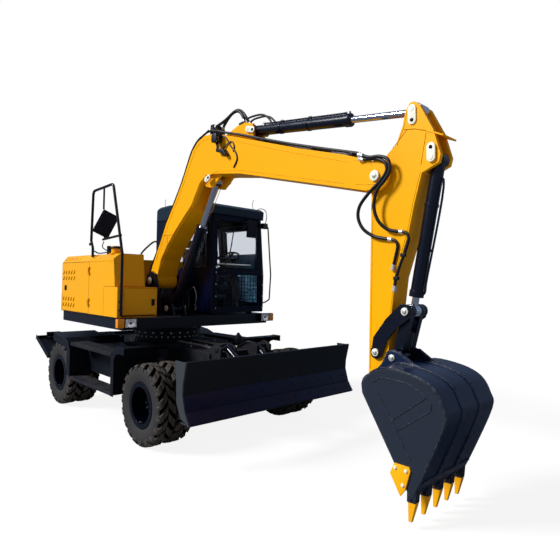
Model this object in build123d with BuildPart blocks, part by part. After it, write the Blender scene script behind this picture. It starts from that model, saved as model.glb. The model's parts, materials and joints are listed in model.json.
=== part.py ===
"""Wheeled excavator of the eight-tonne class, built as separate pieces.

Frame: +X forward (towards the blade), +Y left, +Z up, the ground is Z = 0.
Stations along the machine are first given from the point midway between the
axles, as the constructor's drawing has them, and moved by `mid_x`, which
centres the whole machine's box on the row's origin. All sizes are in mm.
"""
import os
from math import atan2, cos, degrees, hypot, radians, sin

from build123d import *

os.makedirs("parts", exist_ok=True)

# ---------------------------------------------------------------- driving dimensions
mid_x = -1045.0             # the point midway between the axles, in the row's frame

wheelbase = 2344.0
tyre_diameter = 865.0
tyre_width = 200.0
twin_gap = 15.0             # between the two tyres of a twin wheel
width_over_tyres = 2316.0
rim_seat_radius = 203.0
rim_flange_radius = 243.0
rim_gauge = 12.0
king_pin_y = 690.0          # half the distance between the king pins
pivot_clearance = 0.05      # a shaft in its bore, on the radius
side_clearance = 5.0        # between pieces that move past each other
seat_gap = 0.3              # between a curved piece and its seat

frame_half_width = 400.0
frame_bottom = 620.0
deck_top = 930.0
frame_rear = -1640.0
frame_front = 1340.0
wide_girder = (-700.0, 620.0, 500.0)        # stations and half width of the girder's wide part
tail_slope_start = -190.0   # where the girder's top begins to slope down, under the ring
tail_top = 730.0            # its height at the girder's rear end

slew_x = -240.0             # slew centre, from the point midway between the axles
slew_ring_radius = 455.0
slew_ring_top = 1150.0

blade_half_width = 1184.0
blade_top = 999.0
blade_bottom = 438.6

house_half_width = 1130.0   # the upper body over its side panels
skirt_half_width = 1100.0
platform_bottom = 1165.0
platform_top = 1300.0
platform_front = 620.0
tail_radius = 1540.0
tail_corner_radius = 350.0
hood_top = 2055.0
hood_gauge = 14.0
counterweight_top = 1540.0

cab_right = 165.0
cab_left = 1110.0
cab_rear = -920.0
cab_front = 560.0
cab_floor = 1325.0
cab_eaves = 2650.0
cab_roof_top = 2880.0
cab_wall = 50.0
cab_belt = 1880.0
cab_lean = 70.0             # how far the left wall leans in, from its belt to its eaves

boom_y = -160.0             # the plane that the boom, arm and bucket work in
boom_width = 300.0
arm_width = 200.0
bucket_width = 760.0
plate = 16.0                # side plates, ears and brackets

wheel_mid_y = (width_over_tyres - 2 * tyre_width - twin_gap) / 2
tyre_radius = tyre_diameter / 2
tyre_offset = (tyre_width + twin_gap) / 2       # of each tyre from the twin's middle


def fore(station):
    """A station from the point midway between the axles, in the row's frame."""
    return mid_x + station


front_axle_x = fore(wheelbase / 2)
rear_axle_x = fore(-wheelbase / 2)
slew_centre_x = fore(slew_x)


# ---------------------------------------------------------------- helpers
def at(points):
    """Side-view points (station, height) moved into the row's frame."""
    return [(fore(x), z) for x, z in points]


def side_plane(y):
    """A sketch plane seen from the machine's right: local x forward, local y up."""
    return Plane.XZ.offset(-y)


def outline(points, plane, radius=0.0):
    """A closed outline of straight runs, its corners rounded where a radius is given."""
    with BuildSketch(plane) as sketch:
        with BuildLine():
            Polyline(*points, close=True)
        make_face()
        if radius:
            fillet(sketch.vertices(), radius)
    return sketch.sketch


def slab(points, y, width, radius=0.0, mode=Mode.ADD):
    """A plate or block with a side-view outline, its width centred on y."""
    extrude(outline(at(points), side_plane(y), radius), amount=width / 2, both=True, mode=mode)


def block(x0, x1, y0, y1, z0, z1, mode=Mode.ADD):
    """A box between two stations, two sides and two heights."""
    with Locations(((fore(x0) + fore(x1)) / 2, (y0 + y1) / 2, (z0 + z1) / 2)):
        Box(abs(x1 - x0), abs(y1 - y0), abs(z1 - z0), mode=mode)


def bar_y(x, z, y0, y1, radius, mode=Mode.ADD):
    """A round bar across the machine, between two sides."""
    with Locations(Plane(origin=(fore(x), (y0 + y1) / 2, z), z_dir=(0, 1, 0))):
        Cylinder(radius, abs(y1 - y0), mode=mode)


def bar_z(x, y, z0, z1, radius, mode=Mode.ADD):
    """An upright round bar between two heights."""
    with Locations((fore(x), y, (z0 + z1) / 2)):
        Cylinder(radius, abs(z1 - z0), mode=mode)


def bar_x(x0, x1, y, z, radius, mode=Mode.ADD):
    """A round bar along the machine, between two stations."""
    with Locations(Plane(origin=((fore(x0) + fore(x1)) / 2, y, z), z_dir=(1, 0, 0))):
        Cylinder(radius, abs(x1 - x0), mode=mode)


def bar_between(start, end, y, radius, mode=Mode.ADD):
    """A round bar in the plane y, between two side-view points."""
    (x0, z0), (x1, z1) = start, end
    middle = (fore((x0 + x1) / 2), y, (z0 + z1) / 2)
    with Locations(Plane(origin=middle, z_dir=(x1 - x0, 0, z1 - z0))):
        Cylinder(radius, hypot(x1 - x0, z1 - z0), mode=mode)


def towards(start, end, distance):
    """The side-view point a distance from start, on the line to end."""
    (x0, z0), (x1, z1) = start, end
    share = distance / hypot(x1 - x0, z1 - z0)
    return (x0 + (x1 - x0) * share, z0 + (z1 - z0) * share)


def offset_outline(points, distance):
    """An open side-view line with a second one beside it, as one closed outline."""
    beside = []
    for i, (x, z) in enumerate(points):
        before = points[max(i - 1, 0)]
        after = points[min(i + 1, len(points) - 1)]
        length = hypot(after[0] - before[0], after[1] - before[1])
        beside.append((x - (after[1] - before[1]) * distance / length,
                       z + (after[0] - before[0]) * distance / length))
    return points + beside[::-1]


def eased(points, steps=4):
    """An open side-view line drawn smoothly through its points, as short straight runs."""
    ends = [points[0], *points, points[-1]]
    line = []
    for a, b, c, d in zip(ends, ends[1:], ends[2:], ends[3:]):
        for step in range(steps):
            t = step / steps
            line.append(tuple(0.5 * (2 * q + (r - p) * t + (2 * p - 5 * q + 4 * r - s) * t * t
                                     + (3 * q - p - 3 * r + s) * t ** 3) for p, q, r, s in zip(a, b, c, d)))
    return line + [points[-1]]


def save(piece, name):
    """Label a finished piece and write it under its node's name."""
    piece.part.label = name
    export_step(piece.part, f"parts/{name}.step")


# ---------------------------------------------------------------- chassis
cheek_inner, cheek_outer = 345.0, 380.0     # front cheeks that carry the blade arms
inner_cheek = (150.0, 175.0)                # and the pair inside them
blade_arm_pivot = (1380.0, 460.0)           # lower arm to chassis
blade_arm_length = 630.0
blade_arm_rise = radians(25.0)
link_rise = 130.0                           # the upper link's pivots above the arm's
blade_cylinder_foot = (1440.0, 985.0)
blade_cylinder_eye = (1885.0, 705.0)
blade_pin_radius = 22.0
blade_arm_eye = (blade_arm_pivot[0] + blade_arm_length * cos(blade_arm_rise),
                 blade_arm_pivot[1] + blade_arm_length * sin(blade_arm_rise))
link_pivot = (blade_arm_pivot[0], blade_arm_pivot[1] + link_rise)
link_eye = (blade_arm_eye[0], blade_arm_eye[1] + link_rise)
axle_height = tyre_radius

towing_eye = (frame_rear - 90, 730.0)
towing_eye_radius = 22.0

with BuildPart() as chassis_frame:
    block(frame_rear, frame_front, -frame_half_width, frame_half_width, frame_bottom, deck_top)
    # the girder narrows in front, where the steered wheels swing in
    block(wide_girder[0], wide_girder[1], -wide_girder[2], wide_girder[2], frame_bottom, deck_top)
    slab([(tail_slope_start, deck_top), (frame_rear - 1, tail_top), (frame_rear - 1, deck_top + 1),
          (tail_slope_start, deck_top + 1)], 0, 2 * wide_girder[2] + 2, mode=Mode.SUBTRACT)
    bar_z(slew_x, 0, frame_bottom, deck_top + 70, slew_ring_radius - 30)
    for side in (-1, 1):
        for near, far in ((cheek_inner, cheek_outer), inner_cheek):
            slab([(1200, 640), (1330, 400), (1430, 400), (1520, 520), (1520, 1000), (1400, 1040),
                  (1200, deck_top)], side * (near + far) / 2, far - near)
        for pivot in (blade_arm_pivot, link_pivot, blade_cylinder_foot):
            bar_y(*pivot, side * inner_cheek[0], side * cheek_outer, blade_pin_radius)
        # brackets for the axles, under the girder
    for x in (-wheelbase / 2, wheelbase / 2):
        for side in (-1, 1):
            block(x - 110, x + 110, side * 210, side * 330, axle_height + 80, frame_bottom)
    # towing eye at the rear
    slab([(frame_rear, 660), (frame_rear - 150, 660), (frame_rear - 150, 800), (frame_rear, 840)], 0, 50)
    bar_y(*towing_eye, -40, 40, towing_eye_radius, mode=Mode.SUBTRACT)
save(chassis_frame, "chassis_frame")

with BuildPart() as slew_ring:
    bar_z(slew_x, 0, deck_top + 70, slew_ring_top - 60, slew_ring_radius)
    bar_z(slew_x, 0, deck_top + 70, slew_ring_top - 60, slew_ring_radius - 110, mode=Mode.SUBTRACT)
save(slew_ring, "slew_ring")

kingpin_radius = 20.0
yoke_half_gap = 95.0        # between the axle's middle and the inner face of a yoke's plate
yoke_plate = 30.0


def axle_beam(x, steered):
    """The axle's housing, with the bowl of its differential in the middle."""
    reach = king_pin_y - 60 if steered else wheel_mid_y - 120
    bar_y(x, axle_height, -reach, reach, 78)
    with Locations((fore(x), 0, axle_height)):
        Sphere(175)
    bar_x(x - 240, x + 60 if not steered else x + 150, 0, axle_height, 70)
    for side in (-1, 1):
        block(x - 100, x + 100, side * 215, side * 325, axle_height - 60, axle_height + 80)


with BuildPart() as front_axle:
    axle_beam(wheelbase / 2, True)
    for side in (-1, 1):
        block(wheelbase / 2 - 55, wheelbase / 2 + 55, side * (king_pin_y - 100), side * (king_pin_y - 62),
              axle_height - yoke_half_gap - yoke_plate, axle_height + yoke_half_gap + yoke_plate)
        for up in (-1, 1):
            low = axle_height + up * yoke_half_gap
            high = axle_height + up * (yoke_half_gap + yoke_plate)
            block(wheelbase / 2 - 55, wheelbase / 2 + 55, side * (king_pin_y - 100),
                  side * king_pin_y, low, high)
            bar_z(wheelbase / 2, side * king_pin_y, low, high, 55)
        bar_z(wheelbase / 2, side * king_pin_y, 0, tyre_diameter, kingpin_radius + pivot_clearance,
              mode=Mode.SUBTRACT)
save(front_axle, "front_axle")

hub_inner = wheel_mid_y - 100               # the hub's inner face
spindle_radius = 35.0
spindle_end = wheel_mid_y - 32

with BuildPart() as rear_axle:
    axle_beam(-wheelbase / 2, False)
    for side in (-1, 1):
        bar_y(-wheelbase / 2, axle_height, side * (wheel_mid_y - 180), side * (hub_inner - side_clearance), 115)
        bar_y(-wheelbase / 2, axle_height, side * (hub_inner - 20), side * spindle_end, spindle_radius)
save(rear_axle, "rear_axle")

for side, name in ((1, "knuckle_left"), (-1, "knuckle_right")):
    with BuildPart() as knuckle:
        half = yoke_half_gap - 1
        bar_z(wheelbase / 2, side * king_pin_y, axle_height - half, axle_height + half, 52)
        bar_z(wheelbase / 2, side * king_pin_y, axle_height - yoke_half_gap - yoke_plate - 6,
              axle_height + yoke_half_gap + yoke_plate + 6, kingpin_radius)
        bar_y(wheelbase / 2, axle_height, side * (king_pin_y + 20), side * (hub_inner - side_clearance), 80)
        bar_y(wheelbase / 2, axle_height, side * (hub_inner - 20), side * spindle_end, spindle_radius)
    save(knuckle, name)

# transmission and propeller shaft under the girder
with BuildPart() as driveline:
    block(-780, -480, -150, 150, 400, frame_bottom)
    bar_x(-930, -780, 0, axle_height, 60)
    bar_x(-480, 920, 0, axle_height, 45)
save(driveline, "driveline")


# ---------------------------------------------------------------- wheels
def wheel_ring(x, profile, side):
    """A ring round a wheel's axis; profile points are (distance outwards, radius)."""
    with BuildSketch(Plane.XY) as sketch:
        with BuildLine():
            Polyline(*[(fore(x) + r, side * (wheel_mid_y + out)) for out, r in profile], close=True)
        make_face()
    ring_axis = Axis((fore(x), 0, 0), (0, 1, 0))
    return sketch.sketch, ring_axis


tyre_half = tyre_width / 2
tyre_section = [            # across the tyre from its middle, radius
    (-70, rim_seat_radius + seat_gap), (70, rim_seat_radius + seat_gap), (74, 246), (94, 290),
    (tyre_half, 335), (98, 372), (93, 410), (84, 427), (60, tyre_radius), (-60, tyre_radius),
    (-84, 427), (-93, 410), (-98, 372), (-tyre_half, 335), (-94, 290), (-74, 246)]
flange_gap = 78.0
rim_lip = 10.0
disc_half = 8.0
bolt_ring_radius = 120.0

for x, end in ((wheelbase / 2, "front"), (-wheelbase / 2, "rear")):
    for side, hand in ((1, "left"), (-1, "right")):
        with BuildPart() as tyres:
            for twin in (-1, 1):
                face, ring_axis = wheel_ring(
                    x, [(twin * tyre_offset + out, r) for out, r in tyre_section], side)
                revolve(face, axis=ring_axis)
        tyres.part = tyres.part.moved(Location((0, 0, axle_height)))
        save(tyres, f"tyres_{end}_{hand}")

        with BuildPart() as rims:
            seat, inner = rim_seat_radius, rim_seat_radius - rim_gauge
            far = tyre_offset + flange_gap + rim_lip
            near = tyre_offset - flange_gap - rim_lip
            rings = [[(-far, inner), (far, inner), (far, seat), (-far, seat)],
                     [(-disc_half, 90), (disc_half, 90), (disc_half, seat - 1), (-disc_half, seat - 1)],
                     [(-100, 0), (70, 0), (78, 60), (78, 90), (40, bolt_ring_radius),
                      (-60, bolt_ring_radius), (-100, 85)]]
            for twin in (-1, 1):
                for edge in (near, far - rim_lip):
                    rings.append([(twin * edge, inner + 2), (twin * (edge + rim_lip), inner + 2),
                                  (twin * (edge + rim_lip), rim_flange_radius),
                                  (twin * edge, rim_flange_radius)])
            for ring in rings:
                face, ring_axis = wheel_ring(x, ring, side)
                revolve(face, axis=ring_axis)
        rims.part = rims.part.moved(Location((0, 0, axle_height)))
        with BuildPart() as bored_rims:
            add(rims.part)
            bar_y(x, axle_height, side * (hub_inner - 1), side * (spindle_end + 2),
                  spindle_radius + pivot_clearance, mode=Mode.SUBTRACT)
        save(bored_rims, f"rims_{end}_{hand}")

# ---------------------------------------------------------------- fenders, steps and guards
fender_outer = 1180.0
step_outer = fender_outer
fender_inner = 600.0
fender_gauge = 8.0
fender_lip = 6.0
step_rear, step_front = -712.0, 520.0
upper_step_top, lower_step_top = 905.0, 460.0
step_depth = 40.0
front_arch = [(step_front, 420), (step_front, 850), (590, 955), (690, 990), (840, 990)]
rear_arch = [(step_rear, 460), (step_rear, 800), (-780, 895), (-930, 940), (-1320, 985)]
front_arch_lip, rear_arch_lip = 75.0, 110.0
arch_bracket = 60.0         # the brackets' depth below the arches

with BuildPart() as fenders:
    for side in (-1, 1):
        middle = side * (fender_outer + fender_inner) / 2
        for arch, lip, turn in ((front_arch, front_arch_lip, -1), (rear_arch, rear_arch_lip, 1)):
            slab(offset_outline(arch, turn * fender_gauge), middle, fender_outer - fender_inner)
            slab(offset_outline(arch, turn * lip), side * (fender_outer - fender_lip / 2), fender_lip)
        # brackets that carry the arches on the girder
        reach = fender_inner - frame_half_width - seat_gap
        slab([(640, 986 - arch_bracket), (830, 986 - arch_bracket), (830, 986), (695, 986), (640, 966)],
             side * (frame_half_width + seat_gap + reach / 2 + 10), reach + 20)
        slab([(-790, tail_top + arch_bracket / 2), (-790, 889), (-930, 935.5), (-1200, 967), (-1200, tail_top)],
             side * (frame_half_width + seat_gap + reach / 2 + 10), reach + 20)
save(fenders, "fenders")

with BuildPart() as steps:
    for side in (-1, 1):
        for top, y_in in ((upper_step_top, 960), (lower_step_top, 980)):
            block(step_rear + seat_gap, step_front - seat_gap, side * y_in, side * (step_outer - fender_lip - seat_gap),
                  top - step_depth, top)
save(steps, "steps")

with BuildPart() as side_boxes:
    for side in (-1, 1):
        block(wide_girder[0], 300, side * (wide_girder[2] + seat_gap), side * 940, 520, upper_step_top - step_depth)
        block(wide_girder[0] + 20, 280, side * 930, side * (960 - seat_gap), upper_step_top - 2 * step_depth,
              upper_step_top - seat_gap)
save(side_boxes, "side_boxes")

guard_low, guard_tip = (-1650.0, 575.0), (-2190.0, 815.0)
guard_half_width = 1150.0
guard_gauge = 10.0
guard_pin_hole = 60.0
with BuildPart() as rear_guard:
    slab(offset_outline([guard_low, guard_tip], -guard_gauge), 0, 2 * guard_half_width)
    slab(offset_outline([towards(guard_tip, guard_low, 12), guard_tip], -45), 0, 2 * guard_half_width)
    for side in (-1, 1):
        slab(offset_outline([guard_low, guard_tip], -60), side * (guard_half_width - 4), 8)
        slab([(frame_rear - seat_gap, 580), (-1660, 578), (-2060, 760), (-1900, 820), (frame_rear - seat_gap, 820)],
             side * 300, 20)
    # the towing pin goes in from the side, through the guard's brackets
    bar_y(*towing_eye, -320, 320, guard_pin_hole, mode=Mode.SUBTRACT)
save(rear_guard, "rear_guard")

# ---------------------------------------------------------------- blade
blade_gauge = 25.0
moldboard_front = [(2080, blade_top), (2035, 800), (2030, 700), (2075, 550), (2150, blade_bottom)]
side_back = [(2010, blade_bottom + 40), (1930, 620), (1925, 780), (1896, blade_top)]

with BuildPart() as blade:
    slab(offset_outline(moldboard_front, -blade_gauge), 0, 2 * blade_half_width)
    for side in (-1, 1):
        slab(moldboard_front + side_back, side * (blade_half_width - plate / 2), plate)
        slab([(2040, 560), (1930, 680), (1930, 930), (2030, 930)], side * (358 + plate / 2), plate)
        slab([(2040, 560), (1930, 680), (1930, 930), (2030, 930)], side * (232 + plate / 2), plate)
        for eye in (blade_arm_eye, link_eye):
            bar_y(*eye, side * 232, side * (358 + plate), blade_pin_radius)
    for side in (-1, 1):
        block(1960, 2012, side * (358 + plate + 5), side * (blade_half_width - plate), 760, 830)
save(blade, "blade")

lower_arm_y = (300.0, 335.0)
upper_link_y = (265.0, 290.0)
with BuildPart() as blade_arms:
    for side in (-1, 1):
        middle, width = side * sum(lower_arm_y) / 2, lower_arm_y[1] - lower_arm_y[0]
        start, end = blade_arm_pivot, blade_arm_eye
        slab(offset_outline([towards(start, end, 10), towards(end, start, 10)], 40), middle, width)
        slab(offset_outline([towards(start, end, 10), towards(end, start, 10)], -40), middle, width)
        for eye in (start, end):
            bar_y(*eye, side * lower_arm_y[0], side * lower_arm_y[1], 45)
        bar_y(*blade_cylinder_eye, side * 236, side * lower_arm_y[1], 34)
        for eye in (start, end):
            bar_y(*eye, side * (lower_arm_y[0] - 1), side * (lower_arm_y[1] + 1),
                  blade_pin_radius + pivot_clearance, mode=Mode.SUBTRACT)
save(blade_arms, "blade_arms")

with BuildPart() as blade_links:
    for side in (-1, 1):
        middle, width = side * sum(upper_link_y) / 2, upper_link_y[1] - upper_link_y[0]
        slab(offset_outline([towards(link_pivot, link_eye, 10), towards(link_eye, link_pivot, 10)], 20),
             middle, width)
        slab(offset_outline([towards(link_pivot, link_eye, 10), towards(link_eye, link_pivot, 10)], -20),
             middle, width)
        for eye in (link_pivot, link_eye):
            bar_y(*eye, side * upper_link_y[0], side * upper_link_y[1], 38)
        bar_y(*link_pivot, side * (upper_link_y[0] - 1), side * (upper_link_y[1] + 1),
              blade_pin_radius + pivot_clearance, mode=Mode.SUBTRACT)
        bar_y(*link_eye, side * (upper_link_y[0] - 1), side * (upper_link_y[1] + 1),
              blade_pin_radius + 1, mode=Mode.SUBTRACT)
save(blade_links, "blade_links")


def cylinder_barrel(foot, eye, y, radius, length, eye_radius, eye_width, pin_radius):
    """A cylinder's barrel with its foot eye, bored for the pin that carries it."""
    bar_between(towards(foot, eye, eye_radius * 0.6), towards(foot, eye, length), y, radius)
    bar_between(towards(foot, eye, length - 50), towards(foot, eye, length), y, radius + 6)
    bar_y(*foot, y - eye_width / 2, y + eye_width / 2, eye_radius)
    bar_y(*foot, y - eye_width, y + eye_width, pin_radius + pivot_clearance, mode=Mode.SUBTRACT)
    # room for the rod in the gland
    bar_between(towards(foot, eye, eye_radius + 12), towards(foot, eye, length + 10), y,
                radius * 0.55 + pivot_clearance, mode=Mode.SUBTRACT)


def cylinder_rod(foot, eye, y, radius, start, eye_radius, eye_width):
    """A cylinder's rod from inside its barrel to the eye with its own pin."""
    bar_between(towards(foot, eye, start), towards(eye, foot, eye_radius * 0.6), y, radius * 0.55)
    bar_y(*eye, y - eye_width / 2, y + eye_width / 2, eye_radius)


blade_cylinder_y = 215.0
with BuildPart() as blade_cylinder_barrels:
    for side in (-1, 1):
        cylinder_barrel(blade_cylinder_foot, blade_cylinder_eye, side * blade_cylinder_y, 36, 450, 36, 60,
                        blade_pin_radius)
save(blade_cylinder_barrels, "blade_cylinder_barrels")
with BuildPart() as blade_cylinder_rods:
    for side in (-1, 1):
        cylinder_rod(blade_cylinder_foot, blade_cylinder_eye, side * blade_cylinder_y, 36, 95, 34,
                     2 * (236 - blade_cylinder_y - seat_gap))
save(blade_cylinder_rods, "blade_cylinder_rods")


# ---------------------------------------------------------------- upper body
def house_outline(half_width, front, radius, corner, z, inset=0.0):
    """The upper body's plan: straight sides, a tail on an arc, rounded rear corners."""
    with BuildSketch(Plane.XY.offset(z)) as sketch:
        with Locations((slew_centre_x, 0)):
            Circle(radius - inset)
        with Locations((fore(front) - 1500, 0)):
            Rectangle(3000, 2 * (half_width - inset), mode=Mode.INTERSECT)
        rear = sketch.vertices().sort_by(Axis.X)[:2]
        fillet(rear, corner - inset)
    return sketch.sketch


def front_plane(x):
    """A sketch plane across the machine: local x to the left, local y up."""
    return Plane.YZ.offset(fore(x))


def hinge_pin_z(x, y, z, pin, boss, height):
    """The fixed half of an upright hinge: a pin with a boss under and over the gap."""
    bar_z(x, y, z - height, z + height, pin)
    for low in (z - height, z + height / 2 + seat_gap):
        bar_z(x, y, low, low + height / 2 - seat_gap, boss)


def leaf_z(x, face_y, out, z0, z1, turn):
    """A leaf that ties an upright hinge's boss to the panel on one side of it."""
    block(x + turn * hinge_boss / 2, x + turn * (hinge_boss + 18), face_y + out * (hinge_out - 5), face_y + out * (hinge_out + 5),
          z0, z1)
    block(x + turn * (hinge_boss + 4), x + turn * (hinge_boss + 18), face_y - out, face_y + out * (hinge_out + 5), z0, z1)


def hinge_fixed_z(x, face_y, out, z, turn):
    """The fixed half of an upright hinge beside a panel's face: its pin, two bosses and their leaves."""
    y = face_y + out * hinge_out
    hinge_pin_z(x, y, z, hinge_pin, hinge_boss, hinge_height)
    for low in (z - hinge_height, z + hinge_height / 2 + seat_gap):
        leaf_z(x, face_y, out, low, low + hinge_height / 2 - seat_gap, turn)


def hinge_moving_z(x, face_y, out, z, turn):
    """The moving half of an upright hinge: its eye, bored for the pin, and its leaf."""
    y = face_y + out * hinge_out
    bar_z(x, y, z - hinge_height / 2, z + hinge_height / 2, hinge_boss)
    leaf_z(x, face_y, out, z - hinge_height / 2, z + hinge_height / 2, turn)
    bar_z(x, y, z - hinge_height, z + hinge_height, hinge_pin + pivot_clearance, mode=Mode.SUBTRACT)


hinge_pin = 5.0
hinge_boss = 10.0
hinge_height = 50.0
hinge_out = hinge_boss + 0.5       # the hinge's axis, outside the panels that it joins

boom_foot = (-120.0, 1740.0)
boom_cylinder_foot = (200.0, 1380.0)
bracket_plate = 30.0
foot_pin_radius = 32.0
foot_cheek = boom_width / 2 + side_clearance
cylinder_cheek = 70.0
with BuildPart() as upper_frame:
    extrude(house_outline(skirt_half_width, platform_front, tail_radius - 20, tail_corner_radius,
                          platform_bottom), amount=platform_top - platform_bottom)
    bar_z(slew_x, 0, slew_ring_top - 60 + seat_gap, platform_bottom + 1, slew_ring_radius - 40)
    for side in (-1, 1):
        inner = boom_y + side * foot_cheek
        slab([(-420, platform_top - 1), (150, platform_top - 1), (60, 1600), (-20, 1830), (-120, 1870), (-220, 1830),
              (-330, 1600)], inner + side * bracket_plate / 2, bracket_plate)
        inner = boom_y + side * cylinder_cheek
        slab([(60, platform_top - 1), (330, platform_top - 1), (270, 1440), (150, 1440)],
             inner + side * bracket_plate / 2, bracket_plate)
    reach = foot_cheek + bracket_plate + 12
    bar_y(*boom_foot, boom_y - reach, boom_y + reach, foot_pin_radius)
    reach = cylinder_cheek + bracket_plate + 8
    bar_y(*boom_cylinder_foot, boom_y - reach, boom_y + reach, foot_pin_radius)
save(upper_frame, "upper_frame")

# the engine's bay: a lid at the rear, a door on each flank, and a fixed cowl between them
split_x = -1185.0           # between the lid and the doors
door_front_x = -270.0       # the front edge of the right door
firewall_x = -950.0
shoulder_in, shoulder_down = 65.0, 92.0
shoulder_z = hood_top - shoulder_down
bank_inner = -620.0         # the inner wall of the bank on the boom's right
tank_inner = -750.0
lower_box_top = 1660.0
hood_front_top = 420.0
hood_front_foot = 545.0
lid_hinge_y = 700.0
left_door_hinge = -977.5    # between the left door and the fixed strip before it
right_door_hinge = door_front_x + side_clearance / 2
lid_axis = (split_x + side_clearance / 2, hood_top + hinge_out)

with BuildPart() as counterweight:
    extrude(house_outline(house_half_width, platform_front, tail_radius, tail_corner_radius,
                          platform_top + seat_gap), amount=counterweight_top - platform_top - seat_gap)
    block(split_x - side_clearance, 800, -1300, 1300, platform_top - 10, counterweight_top + 10,
          mode=Mode.SUBTRACT)
save(counterweight, "counterweight")

with BuildPart() as engine_block:
    block(-1175, -1010, -420, 420, platform_top + seat_gap, 1850)
    block(-1500, -1174, -420, 420, counterweight_top + seat_gap, 1850)
save(engine_block, "engine_block")

lid_low = counterweight_top + side_clearance
with BuildPart() as hood:
    extrude(house_outline(house_half_width, platform_front, tail_radius, tail_corner_radius, lid_low),
            amount=shoulder_z - lid_low)
    extrude(house_outline(house_half_width, platform_front, tail_radius, tail_corner_radius, shoulder_z),
            amount=shoulder_down, taper=degrees(atan2(shoulder_in, shoulder_down)))
    extrude(house_outline(house_half_width, platform_front, tail_radius, tail_corner_radius, lid_low - 1, hood_gauge),
            amount=shoulder_z - lid_low - 10, mode=Mode.SUBTRACT)
    extrude(house_outline(house_half_width, platform_front, tail_radius, tail_corner_radius, shoulder_z - 12,
                          shoulder_in + hood_gauge),
            amount=shoulder_down + 12 - hood_gauge, mode=Mode.SUBTRACT)
    block(split_x, 800, -1300, 1300, 1200, 2200, mode=Mode.SUBTRACT)
    for side in (-1, 1):
        near, far = side * lid_hinge_y - hinge_height / 2, side * lid_hinge_y + hinge_height / 2
        bar_y(lid_axis[0], lid_axis[1], near, far, hinge_boss)
        block(split_x - 28, split_x - 3, near, far, lid_axis[1] - 5, lid_axis[1] + 5)
        block(split_x - 28, split_x - 12, near, far, hood_top - 1, lid_axis[1] + 5)
        bar_y(lid_axis[0], lid_axis[1], near - 30, far + 30, hinge_pin + pivot_clearance, mode=Mode.SUBTRACT)
save(hood, "hood")


def bank_section(y_outer, y_inner, wall):
    """A flank's roof with its sloping shoulder and inner wall, (side, height) points."""
    side = 1 if y_outer > y_inner else -1
    return [(y_outer, shoulder_z), (y_outer - side * shoulder_in, hood_top), (y_inner, hood_top),
            (y_inner, platform_top + seat_gap), (y_inner + side * wall, platform_top + seat_gap),
            (y_inner + side * wall, hood_top - wall), (y_outer - side * (shoulder_in + 4), hood_top - wall),
            (y_outer - side * wall, shoulder_z)]


with BuildPart() as engine_cowl:
    # the right bank's roof and inner wall, from the lid to the tank
    extrude(outline(bank_section(-house_half_width, bank_inner, hood_gauge), front_plane(split_x + side_clearance)),
            amount=door_front_x - split_x - side_clearance)
    # the roof behind the cab, its firewall and the fixed strip in front of the left door
    roof = [(bank_inner - 5, hood_top), (house_half_width - shoulder_in, hood_top), (house_half_width, shoulder_z),
            (house_half_width - hood_gauge, shoulder_z), (house_half_width - shoulder_in - 4, hood_top - hood_gauge),
            (bank_inner - 5, hood_top - hood_gauge)]
    extrude(outline(roof, front_plane(split_x + side_clearance)), amount=firewall_x - split_x - side_clearance)
    block(firewall_x - hood_gauge, firewall_x, bank_inner - 5, house_half_width - hood_gauge / 2,
          platform_top + seat_gap, shoulder_z)
    block(firewall_x - hood_gauge, firewall_x, bank_inner - 5, house_half_width - shoulder_in,
          shoulder_z - 1, hood_top - 5)
    block(-975, firewall_x, house_half_width - hood_gauge, house_half_width, platform_top + side_clearance,
          shoulder_z + 1)
    # the fixed halves of the hinges
    for side in (-1, 1):
        for out in (-1, 1):
            y = side * lid_hinge_y + out * (hinge_height / 2 + seat_gap + 12)
            bar_y(lid_axis[0], lid_axis[1], y - 12, y + 12, hinge_boss)
            block(split_x + 8, split_x + 33, y - 12, y + 12, lid_axis[1] - 5, lid_axis[1] + 5)
            block(split_x + 17, split_x + 33, y - 12, y + 12, hood_top - 1, lid_axis[1] + 5)
        bar_y(lid_axis[0], lid_axis[1], side * lid_hinge_y - 48, side * lid_hinge_y + 48, hinge_pin)
    for z in (1450, 1850):
        hinge_fixed_z(left_door_hinge, house_half_width, 1, z, 1)
save(engine_cowl, "engine_cowl")

with BuildPart() as service_door_right:
    block(split_x + side_clearance, door_front_x, -house_half_width, -house_half_width + hood_gauge,
          platform_top + side_clearance, shoulder_z - side_clearance)
    for z in (1450, 1850):
        hinge_moving_z(right_door_hinge, -house_half_width, -1, z, -1)
save(service_door_right, "service_door_right")

with BuildPart() as service_door_left:
    block(split_x + side_clearance, -980, house_half_width - hood_gauge, house_half_width,
          platform_top + side_clearance, shoulder_z - side_clearance)
    for z in (1450, 1850):
        hinge_moving_z(left_door_hinge, house_half_width, 1, z, -1)
save(service_door_left, "service_door_left")

tank_x = door_front_x + side_clearance
tank_front_foot = hood_front_foot + (hood_front_top - hood_front_foot) * (lower_box_top - 1310) / (hood_top - 1310)
with BuildPart() as tank_housing:
    tank_side = [(tank_x, platform_top + seat_gap), (180, platform_top + seat_gap),
                 (180, lower_box_top + seat_gap), (tank_front_foot - 12, lower_box_top + seat_gap),
                 (hood_front_top, hood_top), (tank_x, hood_top)]
    slab(tank_side, (tank_inner - house_half_width) / 2, house_half_width + tank_inner)
    chamfer(tank_housing.faces().sort_by(Axis.Z)[-1].edges().sort_by(Axis.Y)[0], shoulder_down, shoulder_in)
    fillet(tank_housing.edges().filter_by(GeomType.LINE).group_by(Axis.X)[-1], 4)
    # fuel filler neck with its cap
    bar_z(200, -1000, hood_top - 20, hood_top + 70, 55)
    bar_z(200, -1000, hood_top + 65, hood_top + 95, 62)
    for z in (1450, 1850):
        hinge_fixed_z(right_door_hinge, -house_half_width, -1, z, 1)
save(tank_housing, "tank_housing")

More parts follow.
